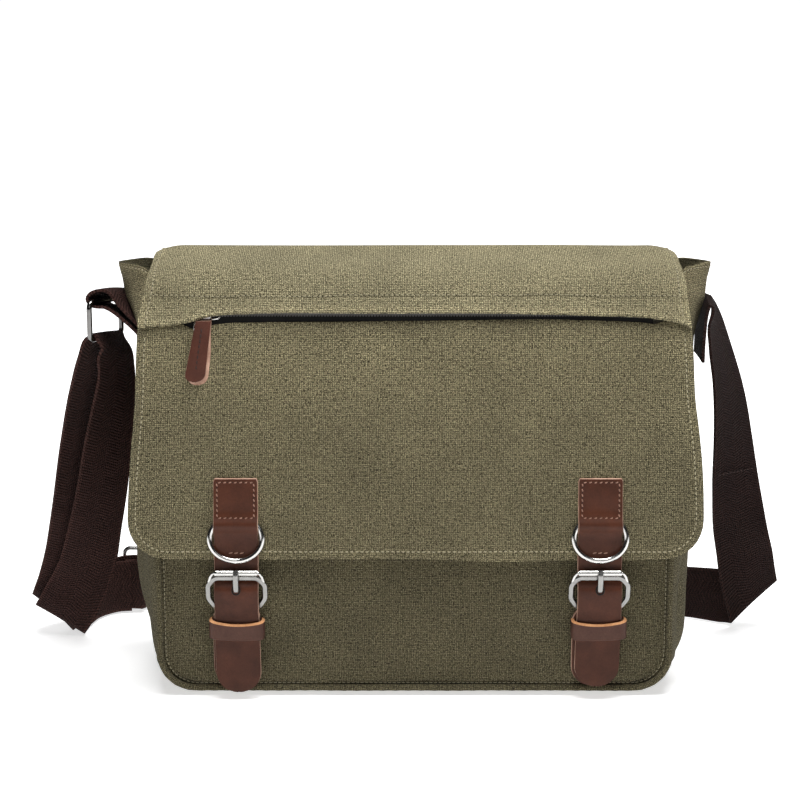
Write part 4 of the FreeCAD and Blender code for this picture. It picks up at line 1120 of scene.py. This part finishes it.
def plate(name, outline_xz, front, back, bevel, materials):
    """A flat plate cut to an outline in the front view, with bevelled front edges."""
    outline_xz = np.asarray(outline_xz, float)
    centre = outline_xz.mean(axis=0)
    spoke = outline_xz - centre
    inner = centre + spoke * (1 - bevel / np.linalg.norm(spoke, axis=1)[:, None])
    rings = [(outline_xz, back), (outline_xz, front + bevel), (inner, front)]
    points = [(px, y, pz) for ring, y in rings for px, pz in ring]
    n = len(outline_xz)
    faces = [(k + r * n, (k + 1) % n + r * n, (k + 1) % n + (r + 1) * n, k + (r + 1) * n)
             for r in (0, 1) for k in range(n)]
    faces += [tuple(range(2 * n, 3 * n)), tuple(range(n - 1, -1, -1))]
    return mesh_object(name, points, faces, materials, sharp=30)


def zip_slider():
    """Slider, its bridge of wire, and the link that holds the pull."""
    park, middle = SLIDER_PARK, ZIP_MIDDLE
    hinge = float(front_y(259.6)) - 6.4
    face = float(front_y(middle))
    shape = [(-3.4, -3.6), (6.4, -4.0), (7.8, -1.5), (8.0, 1.8), (6.4, 3.6), (-3.4, 3.6), (-4.6, 2.2),
             (-4.6, -2.2)]
    shape = [(park + a, middle + b) for a, b in shape]
    body = plate("slider_face", shape, face - 5.3, face - 4.4, 0.5, [SATIN])
    put(body, "zip_slider", "zip_metal", "zip_slider")
    rear = plate("slider_rear", shape, face - 2.7, face - 2.1, 0.1, [SATIN])
    put(rear, "zip_slider", "zip_metal")
    neck = tube("slider_neck", [(park, face - 2.3, middle), (park, face - 5, middle)], 1.0, [SATIN], 10)
    put(neck, "zip_slider", "zip_metal")
    bail = rounded([(park + 6.8, face - 4.6, 262.8), (park + 7.6, face - 5.8, 261.8),
                    (park + 11.6, face - 5.8, 262.1), (park + 13.0, face - 4.6, 263.2)],
                   0.8, 6, closed=False)
    put(tube("slider_bail", bail, 0.65, [NICKEL], 10), "zip_slider", "zip_metal")
    wire = rounded([(park - 4.3, hinge, 259.8), (park + 4.3, hinge, 259.8),
                    (park + 4.6, hinge - 1.1, 252.8), (park - 4.0, hinge - 1.1, 252.8)], 1.3, 6)
    link = tube("pull_link", wire, 0.7, [NICKEL], 10, closed=True)
    put(link, "zip_pull", "zip_metal", "zip_pull_link")


def zip_pull():
    """Two layers of leather, sewn down the middle, that hang a little askew."""
    rows = np.linspace(0, 1, 34)
    u = np.array([-1, -0.9, -0.7, -0.4, 0, 0.4, 0.7, 0.9, 1])
    layers = (("front", 8.3, 1.4, "pull_leather_front", 0.0, 0.0, (PULL_LEATHER, FLESH_SIDE, RAW_EDGE)),
              ("back", 6.3, 1.3, "pull_leather_back", 1.9, 2.3, (RAW_EDGE, FLESH_SIDE, RAW_EDGE)))
    for label, depth, thick, node, shift, drop, materials in layers:
        high = 261.8 if label == "front" else 260.4
        z = high - (high - 220.6 + drop) * rows
        middle = -143.8 - 6.4 * rows + shift * step(0, 0.6, rows)
        half = 5.6 + 1.9 * rows
        round_foot = np.clip((rows - 0.85) / 0.15, 0, 1)
        half = half * np.sqrt(np.maximum(1 - round_foot ** 2.4, 0.004))
        x = middle + u[:, None] * half
        z = np.broadcast_to(z, x.shape)
        y = front_y(z) - depth - 0.4 * np.sin(rows * 5) - 0.3 * step(0.2, 1, rows)
        y = y + 0.07 * (x - middle) + 0.5 * u[:, None] ** 4
        piece = sheet_mesh(f"pull_tab_{label}", join(x, y, z), join(x, z), thick,
                           materials, inset=0.5, flip=True)
        put(piece, "zip_pull", "leather_brown", node)
    thread = Thread()
    share = np.linspace(0.14, 0.8, 20)
    z = 262.6 - 42 * share
    line = join(-144.0 - 6.2 * share, front_y(z) - 8.5 - 0.4 * np.sin(5 * share), z)
    thread.line(line, (0, -1, 0), 3.6, 2.8, 0.55, 0.1, holes=False)
    sew("pull_stitching", thread, DARK_THREAD, "zip_pull", "leather_brown")


flap_pieces()
flap_panel()
flap_linings()
zip_parts()
zip_slider()
zip_pull()

# Closures: leather from the flap down through a roller buckle, over a magnetic snap.

# Outer face of a closure's leather below the flap, as (height, depth).
STRAP_FACE = [(3, -69.5), (10, -69.8), (30, -69.9), (50, -70.0), (60, -70.2), (66, -70.9),
              (72, -71.9), (77.5, -72.7), (81, -72.3), (83.8, -70.6), (86.4, -68.6), (89.4, -67.2),
              (93, -66.7), (97, -66.6), (100, -66.7)]
LEATHER_THICK = 2.2
TAB_TOP = 156.4
TAIL_FOOT = {"left": 5.2, "right": 9.6}
CHAPE_FOOT = 8.4
# The D-ring: height of its centre and its bar, half-width, height below its centre, and wire radius.
D_CENTRE, D_BAR, D_RADIUS, D_TALL, D_WIRE = 115.2, 125, 18.1, 15.3, 2.0
TIP_LENGTH = 15.5


def leather_face(x, z):
    """Depth of a closure's outer face: on the flap with a hump over the D-ring's bar, then below it."""
    on_flap = flap_y(x, z) - 0.15 - LEATHER_THICK - 3.9 * hump(124.6, 5.0, z)
    below = smooth(STRAP_FACE, np.clip(z, 3, 100))
    share = step(98, 106, z)
    return on_flap * share + below * (1 - share)


def on_leather(middle, x, z, proud):
    """Points on the leather's outer face, and proud of it."""
    return join(x, leather_face(np.full(z.shape, middle), z) - proud, z)


def closure_leather(side, sign):
    """Stitched tab and strap in one length, over the D-ring's bar and through the buckle."""
    middle = CLOSURE_MIDDLE[side]
    foot = TAIL_FOOT[side]
    z = np.concatenate([foot + TIP_LENGTH * (1 - np.cos(np.linspace(0.03, math.pi / 2, 9))),
                        np.linspace(foot + TIP_LENGTH, TAB_TOP, 110)[1:]])
    tip = np.clip(1 - (z - foot) / TIP_LENGTH, 0, 1)
    half = 15.3 + 0.45 * (1 - step(50, 64, z)) + 0.15 * hump(77, 6, z)
    half = half * np.sqrt(np.maximum(1 - tip ** 2.3, 0.0))
    half = np.maximum(half, 1.2)
    half = half - 1.0 * (1 - step(0, 3, TAB_TOP - z)) ** 2
    u = np.array([-1, -0.965, -0.9, -0.75, -0.5, -0.25, 0, 0.25, 0.5, 0.75, 0.9, 0.965, 1])
    lean = {"left": 0.7, "right": -1.1}[side] * (1 - step(5, 70, z))
    x = middle + lean + u[:, None] * half
    height = np.broadcast_to(z, x.shape)
    y = leather_face(np.full(x.shape, middle), height)
    crown = 0.55 * (1 - np.abs(u[:, None]) ** 2.5) * step(62, 70, height) * (1 - step(80, 86, height))
    curl = 0.5 * np.abs(u[:, None]) ** 3 * (1 - step(40, 60, height))
    y = y - crown + curl - 0.12 * ripple(x, height, 71 + sign, 26)
    piece = sheet_mesh(f"closure_leather_{side}", join(x, y, height),
                       join(x, height), LEATHER_THICK, STRAP, inset=0.5)
    bend(piece, ("flap_front", f"closure_{side}"), (0, 0, 99), (0, 0, 93), "leather_brown",
         f"closure_tab_{side}", f"closure_strap_{side}")
    thread = Thread()
    left, right, low, high = middle - 12.6, middle + 12.6, 129.6, TAB_TOP - 2.8
    box = [(left, low), (right, low), (right, high), (left, high)]
    for (x0, z0), (x1, z1) in zip(box, box[1:] + box[:1]):
        line = on_leather(middle, np.linspace(x0, x1, 30), np.linspace(z0, z1, 30), 0.1)
        pitch = math.hypot(x1 - x0, z1 - z0) / 7
        thread.line(line, (0, -1, 0), pitch, 2.1, 0.45, 0.35)
    line = on_leather(middle, np.linspace(middle - 5.6, middle + 5.6, 12), np.full(12, 104.8), 0.1)
    thread.line(line, (0, -1, 0), 3.9, 3.0, 0.5, 0.25)
    sew(f"tab_stitching_{side}", thread, PALE_THREAD, "flap_front", "leather_brown")


def d_ring(side):
    """A wire D that lies on the leather below its bar."""
    middle = CLOSURE_MIDDLE[side]
    rise = D_BAR - D_CENTRE
    start = math.asin(rise / D_TALL)
    turn = np.linspace(math.pi - start, 2 * math.pi + start, 60)
    arc = join(np.cos(turn) * D_RADIUS, np.sin(turn) * D_TALL)
    bar = join(np.linspace(arc[-1][0] - 1, arc[0][0] + 1, 8), np.full(8, rise))
    loop = np.concatenate([arc, bar])
    for _ in range(2):
        loop = (np.roll(loop, 1, 0) + loop * 2 + np.roll(loop, -1, 0)) / 4
    z = D_CENTRE + loop[:, 1]
    rest = float(front_y(D_BAR)) - 6.1
    foot = float(leather_face(np.array(middle), np.array(99.0))) - 1.9
    share = np.clip((D_BAR - z) / 26, 0, 1)
    y = rest + (foot - rest) * share ** 0.8
    path = join(middle + loop[:, 0], y, z)
    put(tube(f"d_ring_wire_{side}", path, D_WIRE, [NICKEL], 18, closed=True),
        f"d_ring_{side}", "metal_dark", f"d_ring_{side}")


def buckle(side):
    """Roller buckle: a flat frame with cut corners, its roller, and a prong through the leather."""
    middle = CLOSURE_MIDDLE[side]
    heel = np.array([middle, -64.2, 66.0])
    top = np.array([middle, -70.9, 92.0])
    rise = unit(top - heel)
    out = np.array([0.0, -rise[2], rise[1]])

    def at(x, up):
        return heel + np.array([x, 0, 0]) + rise * up

    half_frame = [(14.6, 23), (19.4, 17.2), (19.4, 6.5), (14.8, -0.3)]
    corners = [at(-x, up) for x, up in half_frame] + [at(x, up) for x, up in half_frame[::-1]]
    loop = rounded(corners, [5, 6, 7, 2.5, 2.5, 7, 6, 5], 7)
    frame_bar = tube(f"buckle_bar_{side}", loop, 1, [SATIN], closed=True, up=out,
                     section=bar_section(3.7, 2.5, 0.9))
    put(frame_bar, f"closure_{side}", "metal_dark", f"buckle_frame_{side}")
    half_axle = [(19, 18.5), (17.4, 24), (15.6, 26.85)]
    axle = [at(-x, up) for x, up in half_axle] + [at(x, up) for x, up in half_axle[::-1]]
    put(tube(f"buckle_axle_{side}", rounded(axle, 1.6, 6, closed=False), 1.15, [NICKEL], 12),
        f"closure_{side}", "metal_dark")
    run = np.linspace(-14.7, 14.7, 40)
    fat = 2.15 - 0.5 * np.maximum(0, np.abs(run) - 14.2)
    roller = tube(f"buckle_sleeve_{side}", join(middle + run, top[1], top[2]), fat, [NICKEL], 20)
    put(roller, f"roller_{side}", "metal_dark", f"buckle_roller_{side}")
    path = heel + np.array([(0, 2.2, 0), (0, 0, -2.2), (0, -2.6, 1.6), (0, -5.8, 8.6), (0, -9.6, 16),
                            (0, -10.7, 20), (0, -10.8, 25), (0, -9.8, 29)])
    bar = dense(rounded(path, 1.7, 6, closed=False), 0.8)
    prong = tube(f"buckle_tongue_{side}", bar, 1, [SATIN], up=(0.0, -1.0, 0.25),
                 section=bar_section(3.7, 1.7, 0.8))
    put(prong, f"prong_{side}", "metal_dark", f"buckle_prong_{side}")
    turn = np.linspace(0, 2 * math.pi, 24, endpoint=False)
    slot = on_leather(middle, middle + np.cos(turn) * 2.7, 80.4 + np.sin(turn) * 3.2, 0.55)
    rim = tube(f"prong_slot_{side}", slot, 0.5, [HOLE], 8, closed=True)
    put(rim, f"closure_{side}", "leather_brown")


def chape_and_keeper(side, sign):
    """The leather behind the strap, turned over the buckle's bar, and the loop round both."""
    middle = CLOSURE_MIDDLE[side]
    path = [(-66.4, z) for z in np.linspace(CHAPE_FOOT, 60, 24)]
    around = np.linspace(math.pi, 0.05 * math.pi, 9)
    path = np.array(path + [(-64.2 + math.cos(a) * 3.4, 66.3 + math.sin(a) * 3.4) for a in around])
    tip = np.clip(1 - (path[:, 1] - CHAPE_FOOT) / TIP_LENGTH, 0, 1)
    half = 16.1 * np.sqrt(np.maximum(1 - tip ** 2.3, 0.006))
    half[24:] = 13.2
    shift = -2.3 if side == "right" else -0.6
    u = np.array([-1, -0.95, -0.6, 0, 0.6, 0.95, 1])
    x = middle + shift * (1 - step(56, 64, path[:, 1])) + u[:, None] * half
    piece = sheet_mesh(f"chape_leather_{side}", join(x, path[:, 0], path[:, 1]), join(x, lengths(path)),
                       2.0, STRAP, inset=0.45)
    put(piece, f"closure_{side}", "leather_brown", f"chape_{side}")
    corners = [(-19.0, -62.2), (19.0, -62.2), (19.0, -73.6), (-19.0, -73.6)]
    flat = rounded([(a, b, 0) for a, b in corners], [2.0, 2.0, 4.2, 4.2], 9)
    flat = dense(flat, 1.4, closed=True)
    bow = 0.6 * (1 - (flat[:, 0] / 19) ** 2) * (flat[:, 1] < -68)
    level = np.linspace(0, 1, 9)
    sag = 2.6 * (1 - (flat[:, 0] / 19) ** 2) * (flat[:, 1] < -68)
    tilt = flat[:, 0] * 0.02 * sign
    z = 44.2 + 14.2 * level + tilt[:, None] - sag[:, None] * (0.25 + 0.75 * level)
    grid = join(middle + flat[:, :1], flat[:, 1:2] - bow[:, None], z)
    uv = join(lengths(flat)[:, None], z)
    piece = sheet_mesh(f"keeper_leather_{side}", grid, uv, 1.9, (KEEPER_LEATHER, FLESH_SIDE, TAN_EDGE),
                       inset=1.2, ring=True, flip=True)
    for polygon in piece.data.polygons:
        if polygon.material_index == 2 and polygon.center[2] < 0.05:
            polygon.material_index = 0
    put(piece, f"keeper_{side}", "leather_brown", f"keeper_{side}")


# Shoulder strap: webbing laid out edge by edge, so that it can twist and crease.

def ribbon(name, rows, lanes=13, gap=3.0, thick=2.0):
    """A strip of webbing between two edges. Each row gives a point on each edge."""
    rows = np.array(rows, float)
    middle = (rows[:, :3] + rows[:, 3:]) / 2
    run = lengths(middle)
    places = np.linspace(0, run[-1], int(run[-1] / gap) + 2)
    edges = smooth([(s, *row) for s, row in zip(run, rows.tolist())], places)
    first, second = edges[:, :3], edges[:, 3:]
    u = np.linspace(0, 1, lanes)
    grid = first[None] * (1 - u)[:, None, None] + second[None] * u[:, None, None]
    normal = normals_of(grid)
    still = np.where((first[:, 1] > 120) & (first[:, 0] < -30), 0.15, 1.0)
    sway = 0.35 * still * ripple(u[:, None] * WEB_WIDTH, places, len(name) + 90, 80)
    bow = 0.5 * still * np.sin(math.pi * u)[:, None]
    grid = grid + normal * (sway + bow)[..., None]
    # wear here is painted shade: the strap darkens towards the bag's right side.
    piece = sheet_mesh(name, grid + normal * (thick / 2), join(u[:, None] * WEB_WIDTH, places), thick,
                       [WEBBING] * 3, wear=step(60, 200, grid[..., 0]))
    return piece, run[-1] / 1000


RING_WAY = np.array([math.sin(math.radians(20)), math.cos(math.radians(20)), 0])


def across_ring(x, z, half=19.5, sink=2.4, turn=None):
    """A row of a strip on the ring, near edge to far edge. The far edge is a little lower."""
    way = RING_WAY if turn is None else np.array([math.sin(turn), math.cos(turn), 0])
    near, far = -way * half, way * half
    return (x + near[0], near[1], z + sink, x + far[0], far[1], z - sink)


def strap_inner_run():
    """From the ring down the gusset, turned flat by a crease, and along the floor to the adjuster."""
    rows = [across_ring(-216.2, 245.2), across_ring(-214.8, 245.0), across_ring(-213.6, 243.6),
            across_ring(-213.0, 241.0),
            (-216.5, -17.6, 238, -205.0, 19.0, 236), (-219.2, -16.0, 232, -202.2, 20.5, 231),
            (-220.6, -9.0, 217, -200.5, 25.0, 217),
            (-226, -2.5, 195, -200.8, 28, 194), (-233.3, 4.6, 167, -204.0, 31.4, 167),
            (-244.6, 20.5, 121, -209.6, 39.3, 121), (-254, 35, 90, -215.3, 44.6, 90),
            (-262.8, 47, 64, -220.6, 49.5, 62), (-273.5, 55.5, 44, -230.5, 55.0, 34),
            (-281.5, 59.5, 29.5, -242.5, 60.5, 10.0), (-283.8, 62.2, 25.5, -247.4, 63.8, 2.6),
            (-283.5, 65.5, 25.0, -248.0, 67.5, 1.3), (-279.5, 76, 29.5, -247.6, 78.0, 1.2),
            (-267.0, 90.5, 37.0, -245.6, 90, 1.2), (-250.5, 102.0, 41.0, -242.6, 102.0, 1.2),
            (-239.5, 110.5, 41.3, -236.8, 110.5, 1.2), (-228, 116.8, 41.5, -228, 116.8, 1.4),
            (-219.0, 118.2, 41.5, -219.0, 118.2, 1.5)]
    piece, length = ribbon("strap_inner_run", rows)
    bend(piece, ("bag", "strap_ring"), (0, 0, 218), (0, 0, 238), "webbing",
         "strap_front_strand", "strap_second_run", "strap_ring_loop")


def strap_outer_run():
    """From the ring down behind the inner run, and round to the adjuster behind the bag."""
    rows = [across_ring(-216.2, 245.2), across_ring(-217.6, 245.0), across_ring(-218.8, 243.6),
            (-227.6, -17.8, 244.5, -213.0, 18.4, 238.5),
            (-233.4, -14.4, 231, -213.8, 20.5, 229), (-240.6, -6.0, 209, -216.2, 26.5, 209),
            (-251.5, 10.5, 165, -223.8, 37.0, 165), (-264.5, 31.0, 104, -230.5, 49.5, 104),
            (-272.5, 47.0, 72, -236.0, 57.5, 72), (-280.5, 58.5, 48, -243.5, 64.5, 40),
            (-285.6, 64.0, 35.5, -252.8, 68.6, 14.0), (-286.6, 67.5, 32.5, -256.8, 71.0, 4.4),
            (-286.0, 71.5, 32.0, -257.6, 74.5, 1.4), (-279.0, 81.0, 35.0, -255.0, 84.0, 1.2),
            (-262.0, 96.5, 40.0, -250.0, 97.0, 1.2), (-248.0, 109.0, 41.2, -243.5, 109.0, 1.2),
            (-236, 120.0, 42.5, -235.0, 120, 2.4), (-224, 124.6, 44.0, -224, 124.6, 4.0), STRAP_JOIN]
    piece, length = ribbon("strap_outer_run", rows)
    bend(piece, ("bag", "strap_ring"), (0, 0, 218), (0, 0, 238), "webbing", "strap_back_strand")


def strap_long_run():
    """On edge along the floor behind the bag, up its right side, and over on itself to be sewn down."""
    rows = [STRAP_JOIN, (-150, 125.2, 44.4, -150, 125.2, 4.4), (-60, 125.2, 44.4, -60, 125.2, 4.4),
            (20, 126.0, 42.0, 20, 125.8, 2.0), (110, 122.2, 41.2, 110, 122.8, 1.2),
            (160, 115.5, 41.3, 162, 116.4, 1.2), (196, 107.5, 41.5, 200, 108.2, 1.2),
            (214, 102.8, 41.6, 214.5, 102.6, 1.2), (235, 98.0, 41.6, 229.0, 94.4, 1.2),
            (258, 92.2, 40.6, 236.0, 90.6, 1.3), (271.5, 88.6, 39.4, 239.4, 88.4, 2.0),
            (275.2, 86.4, 38.7, 241.2, 86.4, 2.6), (275.6, 83.6, 37.9, 241.4, 83.2, 3.4),
            (274.6, 81.0, 41.5, 238.4, 80.6, 14.0), (272.0, 76.0, 52, 231.5, 74.0, 38),
            (268.8, 70.5, 66, 226.8, 66.5, 62), (263.4, 63.0, 84, 222.2, 57.5, 84),
            (255.0, 56.0, 118, 218.0, 40.0, 118), (246.1, 47.6, 159, 215.2, 22.6, 159),
            (233.4, 34.2, 209, 210.8, 2.0, 209), (222.6, 25.8, 237, 205.4, -9.8, 237),
            (214.0, 21.0, 258, 203.6, -17.2, 256), (210.4, 20.2, 264.6, 205.4, -18.6, 263.6),
            (207.4, 20, 268.2, 204.6, -19.4, 267.9), (204.8, 20, 269.0, 203.4, -19.8, 268.6),
            (202.8, 20, 266.8, 202.2, -20, 266.4), (201.2, 20, 261, 201.0, -20, 261),
            (200.0, 20, 250, 200.0, -20, 250), (199.4, 20, 239, 199.4, -20, 239),
            (199.2, 20, 228, 199.2, -20, 228)]
    piece, length = ribbon("strap_long_run", rows, gap=3.2)
    put(piece, "bag", "webbing", "strap_main_run", "strap_right_fall")
    thread = Thread()
    line = join(np.linspace(219.4, 248.6, 20), np.linspace(31.5, 52.0, 20), 134.0)
    thread.line(line + np.array([0.7, -1.2, 0]), unit([0.55, -0.83, 0.1]), 3.4, 2.4, 0.4)
    for z in (232, 246):
        thread.line(join(200.5, np.linspace(-17, 17, 14), z), (1, 0, 0), *STRAP_STITCH)
    sew("strap_fall_stitching", thread, DARK_THREAD, slot="webbing")


STRAP_JOIN = (-206, 125.2, 44.4, -206, 125.2, 4.4)


def ring_and_tab():
    """A loop of webbing sewn to the left gusset, and the wire ring that it holds."""
    path = [(-191.2, 214), (-191.2, 230), (-191.7, 243.5), (-194, 254.6), (-196.7, 261.2),
            (-200.2, 267.8), (-204.2, 273.6), (-208.6, 275.6), (-213.6, 275.2), (-217.8, 273.2),
            (-219.8, 269.4), (-218.4, 265.6), (-214.6, 264.2), (-210.4, 264.4), (-206.6, 262.8),
            (-201.4, 257.4), (-197, 249), (-194.6, 243.6), (-193.9, 230), (-193.9, 214)]
    rows = []
    for x, z in path:
        twist = float(step(243, 270, z))
        rows.append(across_ring(x - 1.0 + 3.5 * (1 - twist), z, 18.2 - 1.6 * twist, 2.4 * twist,
                                math.radians(-13 + 33 * twist)))
    piece, length = ribbon("ring_tab_webbing", rows, lanes=11, gap=1.6)
    put(piece, "bag", "webbing", "ring_tab")
    thread = Thread()
    out = unit([-1, -0.23, 0])
    way = np.array([math.sin(math.radians(-13)), math.cos(math.radians(-13)), 0])
    middle = np.array([-192.6, 0, 0])
    corners = [middle + way * s * 15.5 + np.array([0, 0, z])
               for s, z in ((-1, 219), (1, 219), (1, 240), (-1, 240))]
    box = dense(corners, 1.5, closed=True)
    thread.line(np.concatenate([box, box[:1]]), out, 3.2, 2.3, 0.42)
    sew("ring_tab_stitching", thread, DARK_THREAD, slot="webbing")
    middle = np.array([-216.0, 0, 0])
    corners = [middle + RING_WAY * s * 23.25 + np.array([0, 0, z - 2.4 * s]) for s, z in
               ((-1, 242), (1, 242), (1, 268.5), (-1, 268.5))]
    wire = dense(rounded(corners, 4.6, 8), 1.2, closed=True)
    put(tube("strap_ring_wire", wire, 1.9, [DARK_NICKEL], 18, closed=True), "strap_ring", "metal_dark",
        "strap_ring")


def adjuster():
    """A slide of flat wire with a middle bar that the strap's end is sewn round."""
    corners = [(-225, 129, 1.9), (-199, 129, 1.9), (-199, 129, 49.0), (-225, 129, 49.0)]
    wire = dense(rounded(corners, 4.5, 8), 1.2, closed=True)
    put(tube("slide_wire", wire, 1.5, [SATIN], 16, closed=True), "strap_adjuster", "metal_dark",
        "strap_adjuster")
    bar = [(-212, y, z) for y, z in ((129, 2.4), (122.2, 2.4), (121, 4.4), (121, 46.5), (122.2, 48.5),
                                     (129, 48.5))]
    put(tube("slide_bar", rounded(bar, 1.0, 5, closed=False), 1.35, [SATIN], 14), "strap_adjuster",
        "metal_dark")
    rows = [(x, y, 41.6, x, y, 3.2) for x, y in (
        (-222, 119.6), (-214, 118.4), (-210.6, 118.4), (-209.2, 120.6), (-210.8, 122.6), (-215, 122.3),
        (-224, 121.2))]
    piece, _ = ribbon("strap_end_cuff", rows, lanes=9, gap=1.2, thick=1.8)
    put(piece, "strap_adjuster", "webbing", "strap_end_loop")


def cad_finishes():
    """Small fittings that keep the model's own shape."""
    for name in ("snap_socket_left", "snap_socket_right", "socket_washers", "snap_stud_left",
                 "snap_stud_right", "zip_stops"):
        for obj in bpy.data.objects:
            if obj.type == "MESH" and obj.name.split(".")[0] == name:
                obj.data.materials.clear()
                obj.data.materials.append(ZIP_METAL if name == "zip_stops" else NICKEL)


for side, sign in SIDES:
    closure_leather(side, sign)
    d_ring(side)
    buckle(side)
    chape_and_keeper(side, sign)
strap_inner_run()
strap_outer_run()
strap_long_run()
ring_and_tab()
adjuster()
cad_finishes()

# Setting: a plain pale floor, soft studio light, and the camera.

def setting():
    """Floor, sky, lights and camera."""
    floor = bpy.data.meshes.new("floor")
    floor.from_pydata([(-30, -30, -0.0004), (30, -30, -0.0004), (30, 30, -0.0004), (-30, 30, -0.0004)],
                      [], [(0, 1, 2, 3)])
    floor_object = bpy.data.objects.new("floor", floor)
    bpy.context.collection.objects.link(floor_object)
    g = Graph("floor_paper")
    away = g.nodes.new("ShaderNodeVectorMath")
    away.operation = "LENGTH"
    g.links.new(g.place(), away.inputs[0])
    glow = g.ramp(away.outputs["Value"], 0.2, 0.75, FLOOR_GLOW_NEAR, FLOOR_GLOW_FAR)
    g.shader.inputs["Emission Color"].default_value = (1, 1, 1, 1)
    g.feed(g.shader.inputs["Emission Strength"], glow)
    grain = g.noise(g.place(), 40.0)
    floor.materials.append(g.finish(g.scaled((0.8, 0.8, 0.8), g.ramp(grain, 0, 1, 0.99, 1.01)),
                                    0.9, specular=0.1))
    world = bpy.data.worlds.new("studio")
    bpy.context.scene.world = world
    world.use_nodes = True
    nodes, links = world.node_tree.nodes, world.node_tree.links
    background = nodes["Background"]
    background.inputs["Color"].default_value = (1, 1, 1, 1)
    split = nodes.new("ShaderNodeSeparateXYZ")
    links.new(nodes.new("ShaderNodeTexCoord").outputs["Generated"], split.inputs[0])
    sky = nodes.new("ShaderNodeMapRange")
    for socket, value in zip(sky.inputs, (0, 0.02, 0.75, SKY_LOW, SKY_HIGH)):
        socket.default_value = value
    links.new(split.outputs[2], sky.inputs[0])
    seen = nodes.new("ShaderNodeLightPath")
    blend = nodes.new("ShaderNodeMix")
    links.new(seen.outputs["Is Camera Ray"], blend.inputs[0])
    links.new(sky.outputs[0], blend.inputs[2])
    blend.inputs[3].default_value = 1.0
    links.new(blend.outputs[0], background.inputs["Strength"])
    for name, spot, aim, size, power in LIGHTS:
        light = bpy.data.lights.new(name, "AREA")
        light.shape = "RECTANGLE"
        light.size, light.size_y = size
        light.energy = power
        lamp = bpy.data.objects.new(name, light)
        lamp.location = spot
        lamp.rotation_euler = (Vector(aim) - Vector(spot)).to_track_quat("-Z", "Y").to_euler()
        bpy.context.collection.objects.link(lamp)
    camera = bpy.data.cameras.new("camera")
    camera.lens = CAMERA_LENS
    camera.sensor_width = 36
    view = bpy.data.objects.new("camera", camera)
    lean = math.radians(CAMERA_ABOVE)
    view.location = (CAMERA_AIM[0], CAMERA_AIM[1] - CAMERA_AWAY * math.cos(lean),
                     CAMERA_AIM[2] + CAMERA_AWAY * math.sin(lean))
    view.rotation_euler = (math.pi / 2 - lean, 0, 0)
    bpy.context.collection.objects.link(view)
    bpy.context.scene.camera = view
    bpy.context.scene.view_settings.view_transform = "Standard"


CAMERA_AIM = (-0.0104, 0, 0.197)
CAMERA_AWAY = 1.5
CAMERA_ABOVE = 13
CAMERA_LENS = 95.85
SKY_LOW, SKY_HIGH = 0.008, 0.046
FLOOR_GLOW_NEAR, FLOOR_GLOW_FAR = 0.6, 1.0
# Each light: name, place, what it points at, size and power.
LIGHTS = [("key", (0.15, -0.25, 2.1), (0, 0, 0.1), (1.4, 0.8), 56),
          ("front", (0.3, -2.6, 1.6), (0, 0, 0.15), (1.6, 1.2), 6),
          ("back", (0.4, 1.8, 1.8), (0, 0.1, 0.1), (1.6, 1.2), 16)]
setting()
